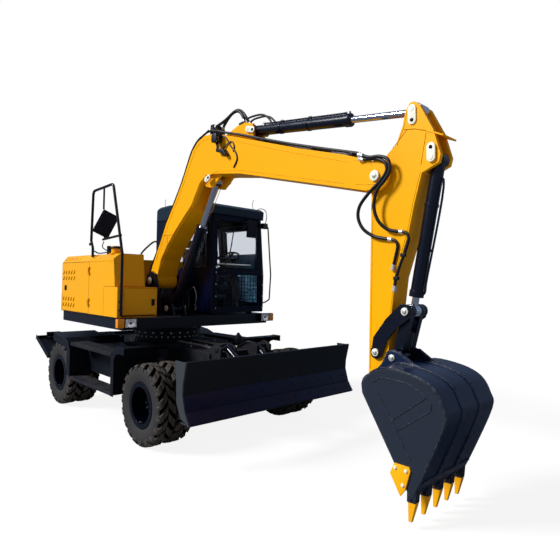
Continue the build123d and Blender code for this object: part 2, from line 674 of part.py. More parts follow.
tool_door_hinge_y = 1075.0
tool_door_gauge = 14.0
tool_hinge_x = hood_front_foot + hinge_out
tool_hinge_y = -tool_door_hinge_y - side_clearance / 2
with BuildPart() as tool_box:
    block(180 + seat_gap, hood_front_foot - tool_door_gauge - 1, -house_half_width, bank_inner,
          platform_top + seat_gap, lower_box_top)
    block(180 + seat_gap + hood_gauge, hood_front_foot, -house_half_width + hood_gauge, bank_inner - hood_gauge,
          platform_top + seat_gap + hood_gauge, lower_box_top - hood_gauge, mode=Mode.SUBTRACT)
    block(hood_front_foot - tool_door_gauge - 2, hood_front_foot, -house_half_width, -tool_door_hinge_y - side_clearance,
          platform_top + seat_gap, lower_box_top)
    for z in (1400, 1580):
        hinge_pin_z(tool_hinge_x, tool_hinge_y, z, hinge_pin, hinge_boss, hinge_height)
        for low in (z - hinge_height, z + hinge_height / 2 + seat_gap):
            high = low + hinge_height / 2 - seat_gap
            block(tool_hinge_x - 5, tool_hinge_x + 5, tool_hinge_y - 24, tool_hinge_y - 4, low, high)
            block(hood_front_foot - 1, tool_hinge_x + 5, tool_hinge_y - 24, tool_hinge_y - 13, low, high)
save(tool_box, "tool_box")
with BuildPart() as tool_box_door:
    block(hood_front_foot - tool_door_gauge, hood_front_foot, -tool_door_hinge_y, bank_inner - 6,
          platform_top + 30, lower_box_top - 14)
    for z in (1400, 1580):
        low, high = z - hinge_height / 2, z + hinge_height / 2
        bar_z(tool_hinge_x, tool_hinge_y, low, high, hinge_boss)
        block(tool_hinge_x - 5, tool_hinge_x + 5, tool_hinge_y + 4, tool_hinge_y + 24, low, high)
        block(hood_front_foot - 1, tool_hinge_x + 5, tool_hinge_y + 13, tool_hinge_y + 24, low, high)
        bar_z(tool_hinge_x, tool_hinge_y, z - hinge_height, z + hinge_height, hinge_pin + pivot_clearance,
              mode=Mode.SUBTRACT)
save(tool_box_door, "tool_box_door")

# ---------------------------------------------------------------- cab
door_rear, door_front = -380.0, 490.0
door_low, door_high = 1370.0, 2590.0
door_hinge_x = door_rear - 2.5
cab_corner = 60.0
glass = 6.0


def lean_at(z):
    """How far the cab's left wall has leaned in at a height."""
    return max(0.0, (z - cab_belt) / (cab_eaves - cab_belt)) * cab_lean


def cab_section(inset):
    """The cab's section across the machine, (side, height) points."""
    return [(cab_right + inset, cab_floor + inset), (cab_left - inset, cab_floor + inset),
            (cab_left - inset, cab_belt), (cab_left - cab_lean - inset, cab_eaves - inset),
            (cab_right + inset, cab_eaves - inset)]


def left_wall_strip(inset, thickness, low, high):
    """A strip of the cab's left wall, as (side, height) points."""
    levels = (low, cab_belt, high) if low < cab_belt else (low, high)
    outer = [(cab_left - inset - lean_at(z), z) for z in levels]
    return outer + [(y - thickness, z) for y, z in outer][::-1]


with BuildPart() as cab_shell:
    extrude(outline(cab_section(0), front_plane(cab_rear)), amount=cab_front - cab_rear)
    front_face = cab_shell.faces().sort_by(Axis.X)[-1]
    fillet([edge for edge in front_face.edges() if abs(edge.tangent_at(0.5).Z) > 0.5], cab_corner)
    extrude(outline(cab_section(cab_wall), front_plane(cab_rear + cab_wall)),
            amount=cab_front - cab_rear - 2 * cab_wall, mode=Mode.SUBTRACT)
    # front window and its lower pane, right, rear and rear left windows, and the doorway
    block(cab_front - cab_wall - 1, cab_front + 1, cab_right + 70, cab_left - 150, 1930, 2580, mode=Mode.SUBTRACT)
    block(cab_front - cab_wall - 1, cab_front + 1, cab_right + 70, cab_left - 70, 1400, 1860, mode=Mode.SUBTRACT)
    block(-700, 460, cab_right - 1, cab_right + cab_wall + 1, 1930, 2570, mode=Mode.SUBTRACT)
    block(cab_rear - 1, cab_rear + cab_wall + 1, cab_right + 110, cab_left - 160, 1950, 2570, mode=Mode.SUBTRACT)
    block(-840, -470, cab_left - 200, cab_left + 1, 1950, 2570, mode=Mode.SUBTRACT)
    block(door_rear - side_clearance, door_front + side_clearance, cab_left - 200, cab_left + 1,
          door_low - side_clearance, door_high + side_clearance, mode=Mode.SUBTRACT)
    # feet on the platform
    for x in (cab_rear + 120, cab_front - 160):
        for y in (cab_right + 120, cab_left - 160):
            bar_z(x, y, platform_top + seat_gap, cab_floor + 1, 45)
    for z in (1480, 1800):
        hinge_fixed_z(door_hinge_x, cab_left, 1, z, -1)
save(cab_shell, "cab_shell")

roof_line = [(cab_rear, cab_eaves + seat_gap), (cab_front + 15, cab_eaves + seat_gap), (cab_front + 25, cab_eaves + 110),
             (cab_front - 40, cab_eaves + 150), (cab_rear + 320, cab_roof_top), (cab_rear + 60, cab_roof_top - 10),
             (cab_rear, cab_roof_top - 70)]
roof_wall = 40.0
with BuildPart() as cab_roof:
    slab(roof_line, (cab_right + cab_left - cab_lean) / 2, cab_left - cab_lean - cab_right)
    chamfer(cab_roof.edges().filter_by(Plane.XZ).group_by(Axis.Z)[-1], 30)
    slab([(cab_rear + roof_wall, cab_eaves - 1), (cab_front - roof_wall, cab_eaves - 1),
          (cab_front - roof_wall, cab_eaves + 100), (cab_rear + 320, cab_roof_top - roof_wall),
          (cab_rear + roof_wall, cab_roof_top - roof_wall - 50)],
         (cab_right + cab_left - cab_lean) / 2, cab_left - cab_lean - cab_right - 2 * roof_wall, mode=Mode.SUBTRACT)
save(cab_roof, "cab_roof")

with BuildPart() as cab_glass:
    block(cab_front - 30, cab_front - 30 + glass, cab_right + 70.3, cab_left - 150.3, 1930.3, 2579.7)
    block(cab_front - 30, cab_front - 30 + glass, cab_right + 70.3, cab_left - 70.3, 1400.3, 1859.7)
    block(-699.7, 459.7, cab_right + 20, cab_right + 20 + glass, 1930.3, 2569.7)
    block(cab_rear + 20, cab_rear + 20 + glass, cab_right + 110.3, cab_left - 160.3, 1950.3, 2569.7)
    extrude(outline(left_wall_strip(20, glass, 1950.3, 2569.7), front_plane(-839.7)), amount=369.4)
save(cab_glass, "cab_glass")

guard_x = cab_front + 12
with BuildPart() as window_guard:
    block(guard_x, guard_x + 6, cab_right + 45, cab_left - 45, 1375, 1885)
    block(guard_x - 1, guard_x + 7, cab_right + 75, cab_left - 75, 1405, 1855, mode=Mode.SUBTRACT)
    wires_up, wires_across = 14, 8
    for i in range(1, wires_up + 1):
        y = cab_right + 75 + i * (cab_left - cab_right - 150) / (wires_up + 1)
        block(guard_x + 1, guard_x + 5, y - 3, y + 3, 1400, 1860)
    for i in range(1, wires_across + 1):
        z = 1405 + i * 450 / (wires_across + 1)
        block(guard_x + 1, guard_x + 5, cab_right + 70, cab_left - 70, z - 3, z + 3)
    for y in (cab_right + cab_corner + 10, cab_left - cab_corner - 10):
        for z in (1388, 1872):
            block(cab_front + seat_gap, guard_x + 1, y - 8, y + 8, z - 8, z + 8)
save(window_guard, "window_guard")

door_gauge = 40.0
pane = (door_rear + 60, door_front - 60)
with BuildPart() as cab_door:
    extrude(outline(left_wall_strip(0, door_gauge, door_low, door_high), front_plane(door_rear)),
            amount=door_front - door_rear)
    block(pane[0], pane[1], cab_left - 200, cab_left + 1, 1930, door_high - 60, mode=Mode.SUBTRACT)
    block(pane[0], pane[1], cab_left - 200, cab_left + 1, door_low + 80, 1860, mode=Mode.SUBTRACT)
    for z in (1480, 1800):
        hinge_moving_z(door_hinge_x, cab_left, 1, z, 1)
    # pull handle
    block(door_front - 45, door_front - 25, cab_left - 1, cab_left + 30, 1700, 1716)
    block(door_front - 45, door_front - 25, cab_left - 1, cab_left + 30, 1824, 1840)
    block(door_front - 45, door_front - 25, cab_left + 18, cab_left + 30, 1700, 1840)
save(cab_door, "cab_door")
with BuildPart() as cab_door_glass:
    extrude(outline(left_wall_strip(17, glass, 1930.3, door_high - 60.3), front_plane(pane[0] + seat_gap)),
            amount=pane[1] - pane[0] - 2 * seat_gap)
    block(pane[0] + seat_gap, pane[1] - seat_gap, cab_left - 17 - glass, cab_left - 17, door_low + 80.3, 1859.7)
save(cab_door_glass, "cab_door_glass")

cab_inside_floor = cab_floor + cab_wall + seat_gap
seat_y = 650.0
with BuildPart() as seat:
    slab([(-560, 1700), (-40, 1700), (-10, 1740), (-20, 1815), (-560, 1800)], seat_y, 480, radius=15)
    slab([(-560, 1760), (-450, 1790), (-560, 2400), (-650, 2400)], seat_y, 460, radius=20)
    block(-520, -120, seat_y - 150, seat_y + 150, cab_inside_floor, 1701)
save(seat, "seat")

wheel_hub = (250.0, 2075.0)
with BuildPart() as console:
    slab([(300, cab_inside_floor), (470, cab_inside_floor), (420, 1800), (265, 2075), (225, 2060), (330, 1760)],
         seat_y, 110)
    wheel_plane = Plane(origin=(fore(wheel_hub[0]), seat_y, wheel_hub[1]), z_dir=(-0.5, 0, 0.866))
    with Locations(wheel_plane):
        Torus(175, 13)
        Cylinder(40, 30)
        Box(40, 350, 16)
        Box(350, 30, 16)
    for y in (seat_y - 300, seat_y + 300):
        block(-460, 60, y - 55, y + 55, cab_inside_floor, 1860)
        bar_z(0, y, 1859, 2020, 16)
        bar_z(0, y, 1980, 2060, 26)
save(console, "console")

# ---------------------------------------------------------------- outside trim of the upper body
rail = 16.0
rail_x, rail_y = 590.0, -1105.0


def tube(points, radius, bend):
    """A round tube along straight runs with bent corners; points are (station, side, height)."""
    with BuildLine() as route:
        FilletPolyline(*[(fore(x), y, z) for x, y, z in points], radius=bend)
    with BuildSketch(Plane(origin=route.line @ 0, z_dir=route.line % 0)) as section:
        Circle(radius)
    sweep(section.sketch, path=route.line)


cab_rail_radius = 10.0
mirror_bar_z = 2230.0
post_end = 2600.0           # the lower end of the rail's inner post, where the mirror's corner meets it
with BuildPart() as handrail:
    tube([(rail_x, rail_y, 1330), (rail_x, rail_y, 2040), (310, rail_y, 2880), (-260, rail_y, 2860), (-290, rail_y, 2230),
          (-235, rail_y, 2140), (-235, rail_y, hood_top - 33.4)], rail, 55)
    for z in (1390, 1490):
        block(hood_front_foot + seat_gap, rail_x, rail_y - 8, rail_y + 8, z - 12, z + 12)
    # inner post and the bar that carries the mirror
    bar_z(60, rail_y, post_end, 2866, 11)
    bar_between((60, mirror_bar_z), (520, mirror_bar_z + 25), rail_y, 14)
save(handrail, "handrail")

mirror_tilt = 25.0
mirror_width, mirror_height, mirror_depth = 200.0, 300.0, 40.0
lean = radians(mirror_tilt)
mirror_drop = mirror_height / 2 * cos(lean) + mirror_width / 2 * sin(lean)    # from its top corner to its middle
mirror_shift = mirror_width / 2 * cos(lean) - mirror_height / 2 * sin(lean)
mirror_across, mirror_facing = (-0.259, -0.966), (0.966, -0.259)
mirror_x, mirror_y = 60 - mirror_across[0] * mirror_shift, rail_y - mirror_across[1] * mirror_shift
with BuildPart() as mirrors:
    head = Plane(origin=(fore(mirror_x), mirror_y, post_end - mirror_drop - seat_gap),
                 x_dir=(mirror_across[0] * cos(lean), mirror_across[1] * cos(lean), sin(lean)),
                 z_dir=(*mirror_facing, 0))
    with Locations(head):
        Box(mirror_width, mirror_height, mirror_depth)
    tube([(mirror_x + 4, mirror_y, 2400), (mirror_x + 4, mirror_y, 2290), (100, rail_y, 2275),
          (100, rail_y, mirror_bar_z + 17)], 9, 8)
    block(685, 715, 640, 800, 2365, 2585)
    tube([(cab_front + 2 * seat_gap, 700, 2615), (640, 700, 2615), (700, 712, 2580)], 9, 25)
save(mirrors, "mirrors")

with BuildPart() as cab_rail:
    tube([(430, cab_left - lean_at(2605) + 2 * seat_gap, 2615), (430, cab_left + 40, 2615), (560, cab_left + 40, 2560),
          (640, cab_left + 40, 1860), (620, cab_left + 40, 1500), (512, cab_left + 40, 1450),
          (512, cab_left + seat_gap, 1450)], cab_rail_radius, 30)
save(cab_rail, "cab_rail")

with BuildPart() as lamps:
    for side in (-1, 1):
        block(platform_front + seat_gap, 670, side * 950, side * 1098, 1195, 1305)
        block(platform_front + seat_gap, 672, side * 1098.5, side * 1180, 1195, 1305)
save(lamps, "lamps")

with BuildPart() as exhaust:
    bar_z(-1080, -500, hood_top + seat_gap, hood_top + 180, 45)
save(exhaust, "exhaust")

# ---------------------------------------------------------------- boom
boom_tip = (3490.0, 2645.0)
boom_cylinder_eye = (1080.0, 2960.0)
arm_cylinder_foot = (1750.0, 3420.0)
arm_cylinder_eye = (3800.0, 3140.0)
bucket_cylinder_foot = (3980.0, 2720.0)
rocker_pivot = (3510.0, 1190.0)
rocker_eye = (3780.0, 1540.0)
bucket_pivot = (3515.0, 975.0)
bucket_link_eye = (3690.0, 1170.0)

boom_back = [(-215, 1830), (-110, 2020), (40, 2260), (180, 2500), (380, 2760), (550, 3000), (670, 3210), (760, 3350),
             (870, 3440), (1010, 3485), (1200, 3475), (1560, 3370), (2600, 3040), (3160, 2880), (3440, 2780)]
boom_belly = [(3410, 2530), (3160, 2590), (2610, 2720), (1710, 2930), (1300, 2990), (1060, 3010), (930, 2930),
              (760, 2680), (570, 2530), (370, 2360), (190, 2180), (60, 2020), (-30, 1790)]
fork_root = 3190.0
eye_cheek = 75.0            # half the gap that the boom cylinder's eye works in
fork_plate = 30.0

with BuildPart() as boom:
    slab(boom_back + boom_belly, boom_y, boom_width)
    bar_y(*boom_foot, boom_y - boom_width / 2, boom_y + boom_width / 2, 105)
    bar_y(*boom_tip, boom_y - boom_width / 2, boom_y + boom_width / 2, 130)
    block(fork_root, 3800, boom_y - boom_width / 2 + fork_plate, boom_y + boom_width / 2 - fork_plate, 2300, 3100,
          mode=Mode.SUBTRACT)
    bar_y(*boom_foot, boom_y - 300, boom_y + 300, foot_pin_radius + pivot_clearance, mode=Mode.SUBTRACT)
    # the belly is open between the ears, where the cylinder's eye works
    slab([(660, 2480), (680, 2650), (770, 2850), (860, 3060), (920, 3150), (1100, 3170), (1180, 3080), (1180, 2800)],
         boom_y, 2 * eye_cheek, mode=Mode.SUBTRACT)
    # the arm's pin runs from cheek to cheek
    bar_y(*boom_tip, boom_y - boom_width / 2 - 8, boom_y + boom_width / 2 + 8, 35)
    # ears under the bend for the boom cylinder, and on the back for the arm cylinder
    for side in (-1, 1):
        slab([(930, 2930), (1010, 2880), (1120, 2860), (1180, 2900), (1300, 2990), (1060, 3060)],
             boom_y + side * (eye_cheek + 12), 24)
        bar_y(*boom_cylinder_eye, boom_y + side * eye_cheek, boom_y + side * (eye_cheek + 24), 75)
        slab([(1300, 3420), (1560, 3500), (1700, 3510), (1830, 3470), (1850, 3270), (1400, 3380)],
             boom_y + side * (62 + 12), 24)
    bar_y(*arm_cylinder_foot, boom_y - 95, boom_y + 95, 32)
save(boom, "boom")

hose_radius = 17.0
hose_saddle = ((1030.0, 3484.0), (1110.0, 3479.8), 3625.0)      # on the boom's back, and its top
hose_rest = ((1590.0, 3502.2), (1670.0, 3507.9), 22.0)          # on the ears, and its thickness
hose_arches = (             # side, then side-view points
    (55.0, [(1085, 3600), (1180, 3685), (1290, 3748), (1390, 3757), (1480, 3705), (1560, 3610), (1630, 3524)]),
    (-55.0, [(1085, 3590), (1200, 3612), (1330, 3645), (1440, 3685), (1530, 3682), (1605, 3620), (1645, 3524)]),
)
with BuildPart() as boom_hoses:
    (x0, z0), (x1, z1), top = hose_saddle
    slab([(x0, z0 + seat_gap), (x1, z1 + seat_gap), (x1 - 15, top), (x0 + 10, top)], boom_y, 2 * eye_cheek + 20)
    (x0, z0), (x1, z1), thickness = hose_rest
    slab([(x0, z0 + seat_gap), (x1, z1 + seat_gap), (x1, z1 + thickness), (x0, z0 + thickness)], boom_y, 180)
    for side, points in hose_arches:
        with BuildLine() as arch:
            Spline(*[(fore(x), boom_y + side, z) for x, z in points])
        with BuildSketch(Plane(origin=arch.line @ 0, z_dir=arch.line % 0)):
            Circle(hose_radius)
        sweep(path=arch.line)
save(boom_hoses, "boom_hoses")

with BuildPart() as boom_cylinder_barrel:
    cylinder_barrel(boom_cylinder_foot, boom_cylinder_eye, boom_y, 62, 1200, 70, 110, foot_pin_radius)
save(boom_cylinder_barrel, "boom_cylinder_barrel")
with BuildPart() as boom_cylinder_rod:
    cylinder_rod(boom_cylinder_foot, boom_cylinder_eye, boom_y, 62, 700, 62, 2 * (eye_cheek - seat_gap))
save(boom_cylinder_rod, "boom_cylinder_rod")

with BuildPart() as arm_cylinder_barrel:
    cylinder_barrel(arm_cylinder_foot, arm_cylinder_eye, boom_y, 55, 1370, 65, 90, 32)
save(arm_cylinder_barrel, "arm_cylinder_barrel")
with BuildPart() as arm_cylinder_rod:
    cylinder_rod(arm_cylinder_foot, arm_cylinder_eye, boom_y, 55, 800, 60, 2 * (62 - seat_gap))
save(arm_cylinder_rod, "arm_cylinder_rod")

# ---------------------------------------------------------------- arm
arm_side = [(3425, 1000), (3420, 2520), (3440, 2600), (3570, 2820), (3650, 2880), (3710, 3020), (3735, 3140),
            (3775, 3195), (3815, 3195), (3860, 3160), (3980, 2940), (4045, 2740), (4030, 2680), (3890, 2620),
            (3830, 2390), (3780, 2150), (3730, 2000), (3670, 1810), (3640, 1540), (3600, 1000)]
with BuildPart() as arm:
    slab(arm_side, boom_y, arm_width)
    bar_y(*bucket_pivot, boom_y - arm_width / 2, boom_y + arm_width / 2, 85)
    bar_y(*boom_tip, boom_y - arm_width / 2, boom_y + arm_width / 2, 110)
    # open forks for the two cylinders
    slab([(3600, 2990), (3780, 2990), (3900, 2900), (3900, 2600), (4200, 2600), (4200, 3300), (3600, 3300)],
         boom_y, 124, mode=Mode.SUBTRACT)
    bar_y(*boom_tip, boom_y - 300, boom_y + 300, 35 + pivot_clearance, mode=Mode.SUBTRACT)
    bar_y(*bucket_cylinder_foot, boom_y - arm_width / 2 - 10, boom_y + arm_width / 2 + 10, 30)
    bar_y(*rocker_pivot, boom_y - 128, boom_y + 128, 30)
    bar_y(*bucket_pivot, boom_y - 172, boom_y + 172, 32)
save(arm, "arm")

with BuildPart() as bucket_cylinder_barrel:
    cylinder_barrel(bucket_cylinder_foot, rocker_eye, boom_y, 52, 1080, 60, 90, 30)
save(bucket_cylinder_barrel, "bucket_cylinder_barrel")
with BuildPart() as bucket_cylinder_rod:
    cylinder_rod(bucket_cylinder_foot, rocker_eye, boom_y, 52, 500, 50, 2 * (45 - seat_gap))
save(bucket_cylinder_rod, "bucket_cylinder_rod")

rocker_y = (106.0, 124.0)
with BuildPart() as rockers:
    for side in (-1, 1):
        middle, width = boom_y + side * sum(rocker_y) / 2, rocker_y[1] - rocker_y[0]
        slab([(3465, 1200), (3480, 1310), (3600, 1470), (3740, 1600), (3830, 1570), (3820, 1490), (3700, 1400),
              (3610, 1290), (3560, 1160)], middle, width)
        for eye in (rocker_pivot, rocker_eye):
            bar_y(*eye, boom_y + side * rocker_y[0], boom_y + side * rocker_y[1], 55)
        bar_y(*rocker_pivot, boom_y + side * 100, boom_y + side * 130, 30 + pivot_clearance, mode=Mode.SUBTRACT)
        bar_y(*rocker_eye, boom_y + side * 50, boom_y + side * (rocker_y[1] + 6), 30)
save(rockers, "rockers")

with BuildPart() as bucket_link:
    for side in (-1, 1):
        slab(offset_outline([rocker_eye, bucket_link_eye], 40), boom_y + side * 70, 50)
        slab(offset_outline([rocker_eye, bucket_link_eye], -40), boom_y + side * 70, 50)
        bar_y(*rocker_eye, boom_y + side * 45, boom_y + side * 95, 55)
        bar_y(*rocker_eye, boom_y + side * 40, boom_y + side * 100, 30 + pivot_clearance, mode=Mode.SUBTRACT)
    bar_y(*bucket_link_eye, boom_y - 135 + seat_gap, boom_y + 135 - seat_gap, 44)
    bar_between(towards(rocker_eye, bucket_link_eye, 170), towards(rocker_eye, bucket_link_eye, 300), boom_y, 50)
save(bucket_link, "bucket_link")

# ---------------------------------------------------------------- bucket
shell_line = eased([(4026, 240), (4110, 420), (4262, 800), (4248, 920), (4170, 1040), (4010, 1106), (3760, 1130),
                    (3630, 1066)])
bucket_side = [(3600, 1048), (3572, 1020), (3558, 975), (3568, 905), (3870, 440), (3996, 240)] + shell_line
with BuildPart() as bucket:
    slab(offset_outline(shell_line, plate), boom_y, bucket_width)
    for side in (-1, 1):
        slab(bucket_side, boom_y + side * (bucket_width / 2 - plate / 2), plate)
        ear_y = boom_y + side * (135 + 12.5)
        slab([(3455, 965), (3590, 1110), (3644, 1210), (3750, 1225), (3788, 1201), (3870, 1150), (4010, 1105),
              (3770, 1090), (3640, 1040), (3560, 930)], ear_y, 25)
        bar_y(*bucket_pivot, boom_y + side * 135, boom_y + side * 160, 62)
        bar_y(*bucket_link_eye, boom_y + side * 135, boom_y + side * 160, 64)
        bar_y(*bucket_pivot, boom_y + side * 100, boom_y + side * 180, 32 + pivot_clearance, mode=Mode.SUBTRACT)
save(bucket, "bucket")

tooth_count = 5
tooth_half, point_half = 22.0, 11.0         # across a tooth at its root and at its point
tooth_root, tooth_neck, tooth_point = 240 - seat_gap, 205.0, 56.0
with BuildPart() as bucket_teeth:
    for i in range(tooth_count):
        y = boom_y + (i / (tooth_count - 1) - 0.5) * (bucket_width - 60)
        slab([(3996, tooth_root), (4026, tooth_root), (4046, tooth_neck), (4006, tooth_point), (3982, tooth_point),
              (3982, tooth_neck)], y, 2 * tooth_half)
        for side in (-1, 1):
            flank = [(y + side * tooth_half, tooth_neck), (y + side * point_half, tooth_point - 1),
                     (y + side * (tooth_half + 1), tooth_point - 1), (y + side * (tooth_half + 1), tooth_neck)]
            extrude(outline(flank, Plane.YZ.offset(fore(3970))), amount=100, mode=Mode.SUBTRACT)
save(bucket_teeth, "bucket_teeth")

print("parts written:", len(os.listdir("parts")))
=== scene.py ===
"""Wheeled excavator: finishes, tread, hoses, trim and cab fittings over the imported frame.

Everything is in metres in the frame's own axes: +X towards the blade, +Y to the
machine's left, +Z up. Stations along the machine are measured from the point
midway between its two axles, which `Places` reads from the wheels' joints.
"""
from __future__ import annotations

import json
import logging
import math
from dataclasses import dataclass, replace
from enum import Enum
from typing import Iterable, Sequence

import bmesh
import bpy
from mathutils import Matrix, Vector

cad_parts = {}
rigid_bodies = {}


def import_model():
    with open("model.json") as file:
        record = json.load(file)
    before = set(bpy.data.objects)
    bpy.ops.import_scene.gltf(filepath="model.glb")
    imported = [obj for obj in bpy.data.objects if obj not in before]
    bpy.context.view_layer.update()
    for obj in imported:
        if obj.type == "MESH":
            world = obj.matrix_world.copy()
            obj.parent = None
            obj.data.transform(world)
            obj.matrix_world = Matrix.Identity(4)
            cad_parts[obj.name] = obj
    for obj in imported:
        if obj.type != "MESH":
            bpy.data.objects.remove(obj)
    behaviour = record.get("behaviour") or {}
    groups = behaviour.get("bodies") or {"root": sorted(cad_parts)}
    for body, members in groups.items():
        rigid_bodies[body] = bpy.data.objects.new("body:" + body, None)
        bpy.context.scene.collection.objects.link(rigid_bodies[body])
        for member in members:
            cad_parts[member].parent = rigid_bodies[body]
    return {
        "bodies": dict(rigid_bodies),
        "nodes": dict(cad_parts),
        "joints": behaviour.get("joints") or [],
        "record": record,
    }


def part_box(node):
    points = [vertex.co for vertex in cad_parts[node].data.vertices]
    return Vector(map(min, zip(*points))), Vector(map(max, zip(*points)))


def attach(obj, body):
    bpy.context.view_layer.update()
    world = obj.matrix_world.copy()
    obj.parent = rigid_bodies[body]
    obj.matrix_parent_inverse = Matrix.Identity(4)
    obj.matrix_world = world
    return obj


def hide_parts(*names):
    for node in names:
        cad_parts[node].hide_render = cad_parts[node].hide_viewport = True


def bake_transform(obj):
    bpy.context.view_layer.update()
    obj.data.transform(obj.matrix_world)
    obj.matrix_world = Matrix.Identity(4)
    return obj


LOG = logging.getLogger("excavator")
Pair = tuple[float, float]
Triple = tuple[float, float, float]
Colour = tuple[float, float, float, float]
# The machine's left, then its right.
SIDES = (1.0, -1.0)
ORIGIN = Vector((0, 0, 0))
UP = (0, 0, 1)
ACROSS = (0, 1, 0)
ALONG = (1, 0, 0)
CORNERS = ((-1, -1), (1, -1), (1, 1), (-1, 1))
WHITE = (1.0, 1.0, 1.0, 1.0)
SMOOTH_BELOW = math.radians(38)
TINY = 1e-6
PLACE_DIGITS, NORMAL_DIGITS = 6, 3
# The Mix node's colour sockets.
MIX_SHARE, MIX_FIRST, MIX_SECOND, MIX_RESULT = 0, 6, 7, 2
# How finishes answer to their skin, their dust and their coat.
GLOSS_DROP, GLOSS_SPREAD = 0.08, 0.16
DUST_ROUGHNESS = 0.35
COAT_ROUGHNESS = 0.12
LENS_INDEX, PANE_INDEX = 1.45, 1.12
PANE_DUST_REACH = 3.4
# A bolt's head, as shares of its height and of its width over the flats.
WASHER_RADIUS, WASHER_HEIGHT, HEAD_FOOT, HEAD_SHOULDER, HEAD_TOP = 0.75, 0.25, 0.2, 0.85, 0.82


# ------------------------------------------------------------------ places
@dataclass(frozen=True)
class Places:
    """Where things are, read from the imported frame."""

    nodes: dict[str, bpy.types.Object]
    pins: dict[str, Vector]
    mid: float

    @classmethod
    def read(cls) -> "Places":
        """Load the frame and note each joint's place.

        Returns:
            The nodes, the joints' places and the station midway between the axles.
        """
        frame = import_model()
        pins = {j["name"]: Vector(j["pos_m"]) for j in frame["joints"] if "pos_m" in j}
        mid = (pins["wheel_front_left_spin"].x + pins["wheel_rear_left_spin"].x) / 2
        return cls(dict(frame["nodes"]), pins, mid)

    def at(self, station: float, side: float, height: float) -> Vector:
        """A point given by its station, side and height."""
        return Vector((self.mid + station, side, height))

    def line(self, points: Iterable[Triple]) -> list[Vector]:
        """Points given by station, side and height, moved into the frame."""
        return [self.at(*point) for point in points]

    def flat(self, points: Iterable[Pair]) -> list[Pair]:
        """Side-view points (station, height), moved into the frame."""
        return [(self.mid + x, z) for x, z in points]

    def low(self, node: str) -> Vector:
        """A node's lowest corner."""
        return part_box(node)[0]

    def high(self, node: str) -> Vector:
        """A node's highest corner."""
        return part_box(node)[1]


# ------------------------------------------------------------------ shader node groups
class Tree:
    """A node tree being built, with short ways to add and join its nodes."""

    def __init__(self, tree: bpy.types.NodeTree) -> None:
        """Work on a tree.

        Args:
            tree: The shader or geometry tree to fill.
        """
        self.tree = tree

    def add(self, kind: str, **settings: object) -> bpy.types.Node:
        """Add a node and set its properties.

        Args:
            kind: The node's type name.
            settings: Properties by name.

        Returns:
            The new node.
        """
        node = self.tree.nodes.new(kind)
        for name, value in settings.items():
            setattr(node, name, value)
        return node

    def feed(self, socket: bpy.types.NodeSocket, value: object) -> None:
        """Join an output to an input socket, or set the input to a plain value."""
        if isinstance(value, bpy.types.NodeSocket):
            self.tree.links.new(value, socket)
        else:
            socket.default_value = value

    def math(self, operation: str, *values: object, clamp: bool = False) -> bpy.types.NodeSocket:
        """A Math node over sockets or numbers.

        Args:
            operation: The node's operation.
            values: Its inputs in order.
            clamp: Whether the result is kept between 0 and 1.

        Returns:
            The result's socket.
        """
        node = self.add("ShaderNodeMath", operation=operation, use_clamp=clamp)
        for socket, value in zip(node.inputs, values):
            self.feed(socket, value)
        return node.outputs[0]

    def where(self) -> bpy.types.NodeSocket:
        """The place on the surface, in the object's own axes."""
        return self.add("ShaderNodeTexCoord").outputs["Object"]

    def apart(self, vector: bpy.types.NodeSocket) -> bpy.types.bpy_prop_collection:
        """A vector's X, Y and Z."""
        node = self.add("ShaderNodeSeparateXYZ")
        self.feed(node.inputs[0], vector)
        return node.outputs

    def ramp(self, value: object, low: float, high: float, to_low: float = 0.0,
             to_high: float = 1.0) -> bpy.types.NodeSocket:
        """A smooth Map Range from one span to another."""
        node = self.add("ShaderNodeMapRange", interpolation_type="SMOOTHSTEP")
        for socket, number in zip(node.inputs, (value, low, high, to_low, to_high)):
            self.feed(socket, number)
        return node.outputs[0]

    def noise(self, where: object, scale: object, detail: float = 3.0) -> bpy.types.NodeSocket:
        """A noise texture's value at a place."""
        node = self.add("ShaderNodeTexNoise")
        self.feed(node.inputs["Vector"], where)
        self.feed(node.inputs["Scale"], scale)
        node.inputs["Detail"].default_value = detail
        return node.outputs[0]

    def mix(self, share: object, first: object, second: object, blend: str = "MIX") -> bpy.types.NodeSocket:
        """A colour mixed from two by a share."""
        node = self.add("ShaderNodeMix", data_type="RGBA", blend_type=blend)
        self.feed(node.inputs[MIX_SHARE], share)
        self.feed(node.inputs[MIX_FIRST], first)
        self.feed(node.inputs[MIX_SECOND], second)
        return node.outputs[MIX_RESULT]


class Effect(Enum):
    """The effects that several finishes share, each a shader node group."""

    EDGES = "rounded_worn_edges"
    DUST = "settled_dust"
    TONE = "tone_drift"
    SKIN = "fine_skin"


def shader_group(effect: Effect) -> bpy.types.NodeTree:
    """The node group for an effect, built the first time it is asked for.

    Args:
        effect: Which effect.

    Returns:
        The group's tree.
    """
    known = bpy.data.node_groups.get(effect.value)
    if known:
        return known
    tree = bpy.data.node_groups.new(effect.value, "ShaderNodeTree")
    build = {Effect.EDGES: _edges, Effect.DUST: _dust, Effect.TONE: _tone, Effect.SKIN: _skin}[effect]
    build(tree)
    return tree


def _sockets(tree: bpy.types.NodeTree, inputs: dict[str, object],
             outputs: dict[str, str]) -> tuple[dict, dict]:
    """Give a group its sockets.

    Args:
        tree: The group.
        inputs: Default values by name; a number, or four numbers for a colour.
        outputs: Socket kinds by name.

    Returns:
        The inside ends of the inputs and of the outputs, by name.
    """
    for name, value in inputs.items():
        kind = "NodeSocketColor" if isinstance(value, tuple) else "NodeSocketFloat"
        tree.interface.new_socket(name, in_out="INPUT", socket_type=kind).default_value = value
    for name, kind in outputs.items():
        tree.interface.new_socket(name, in_out="OUTPUT", socket_type=kind)
    entry, leave = tree.nodes.new("NodeGroupInput"), tree.nodes.new("NodeGroupOutput")
    return ({name: entry.outputs[name] for name in inputs}, {name: leave.inputs[name] for name in outputs})


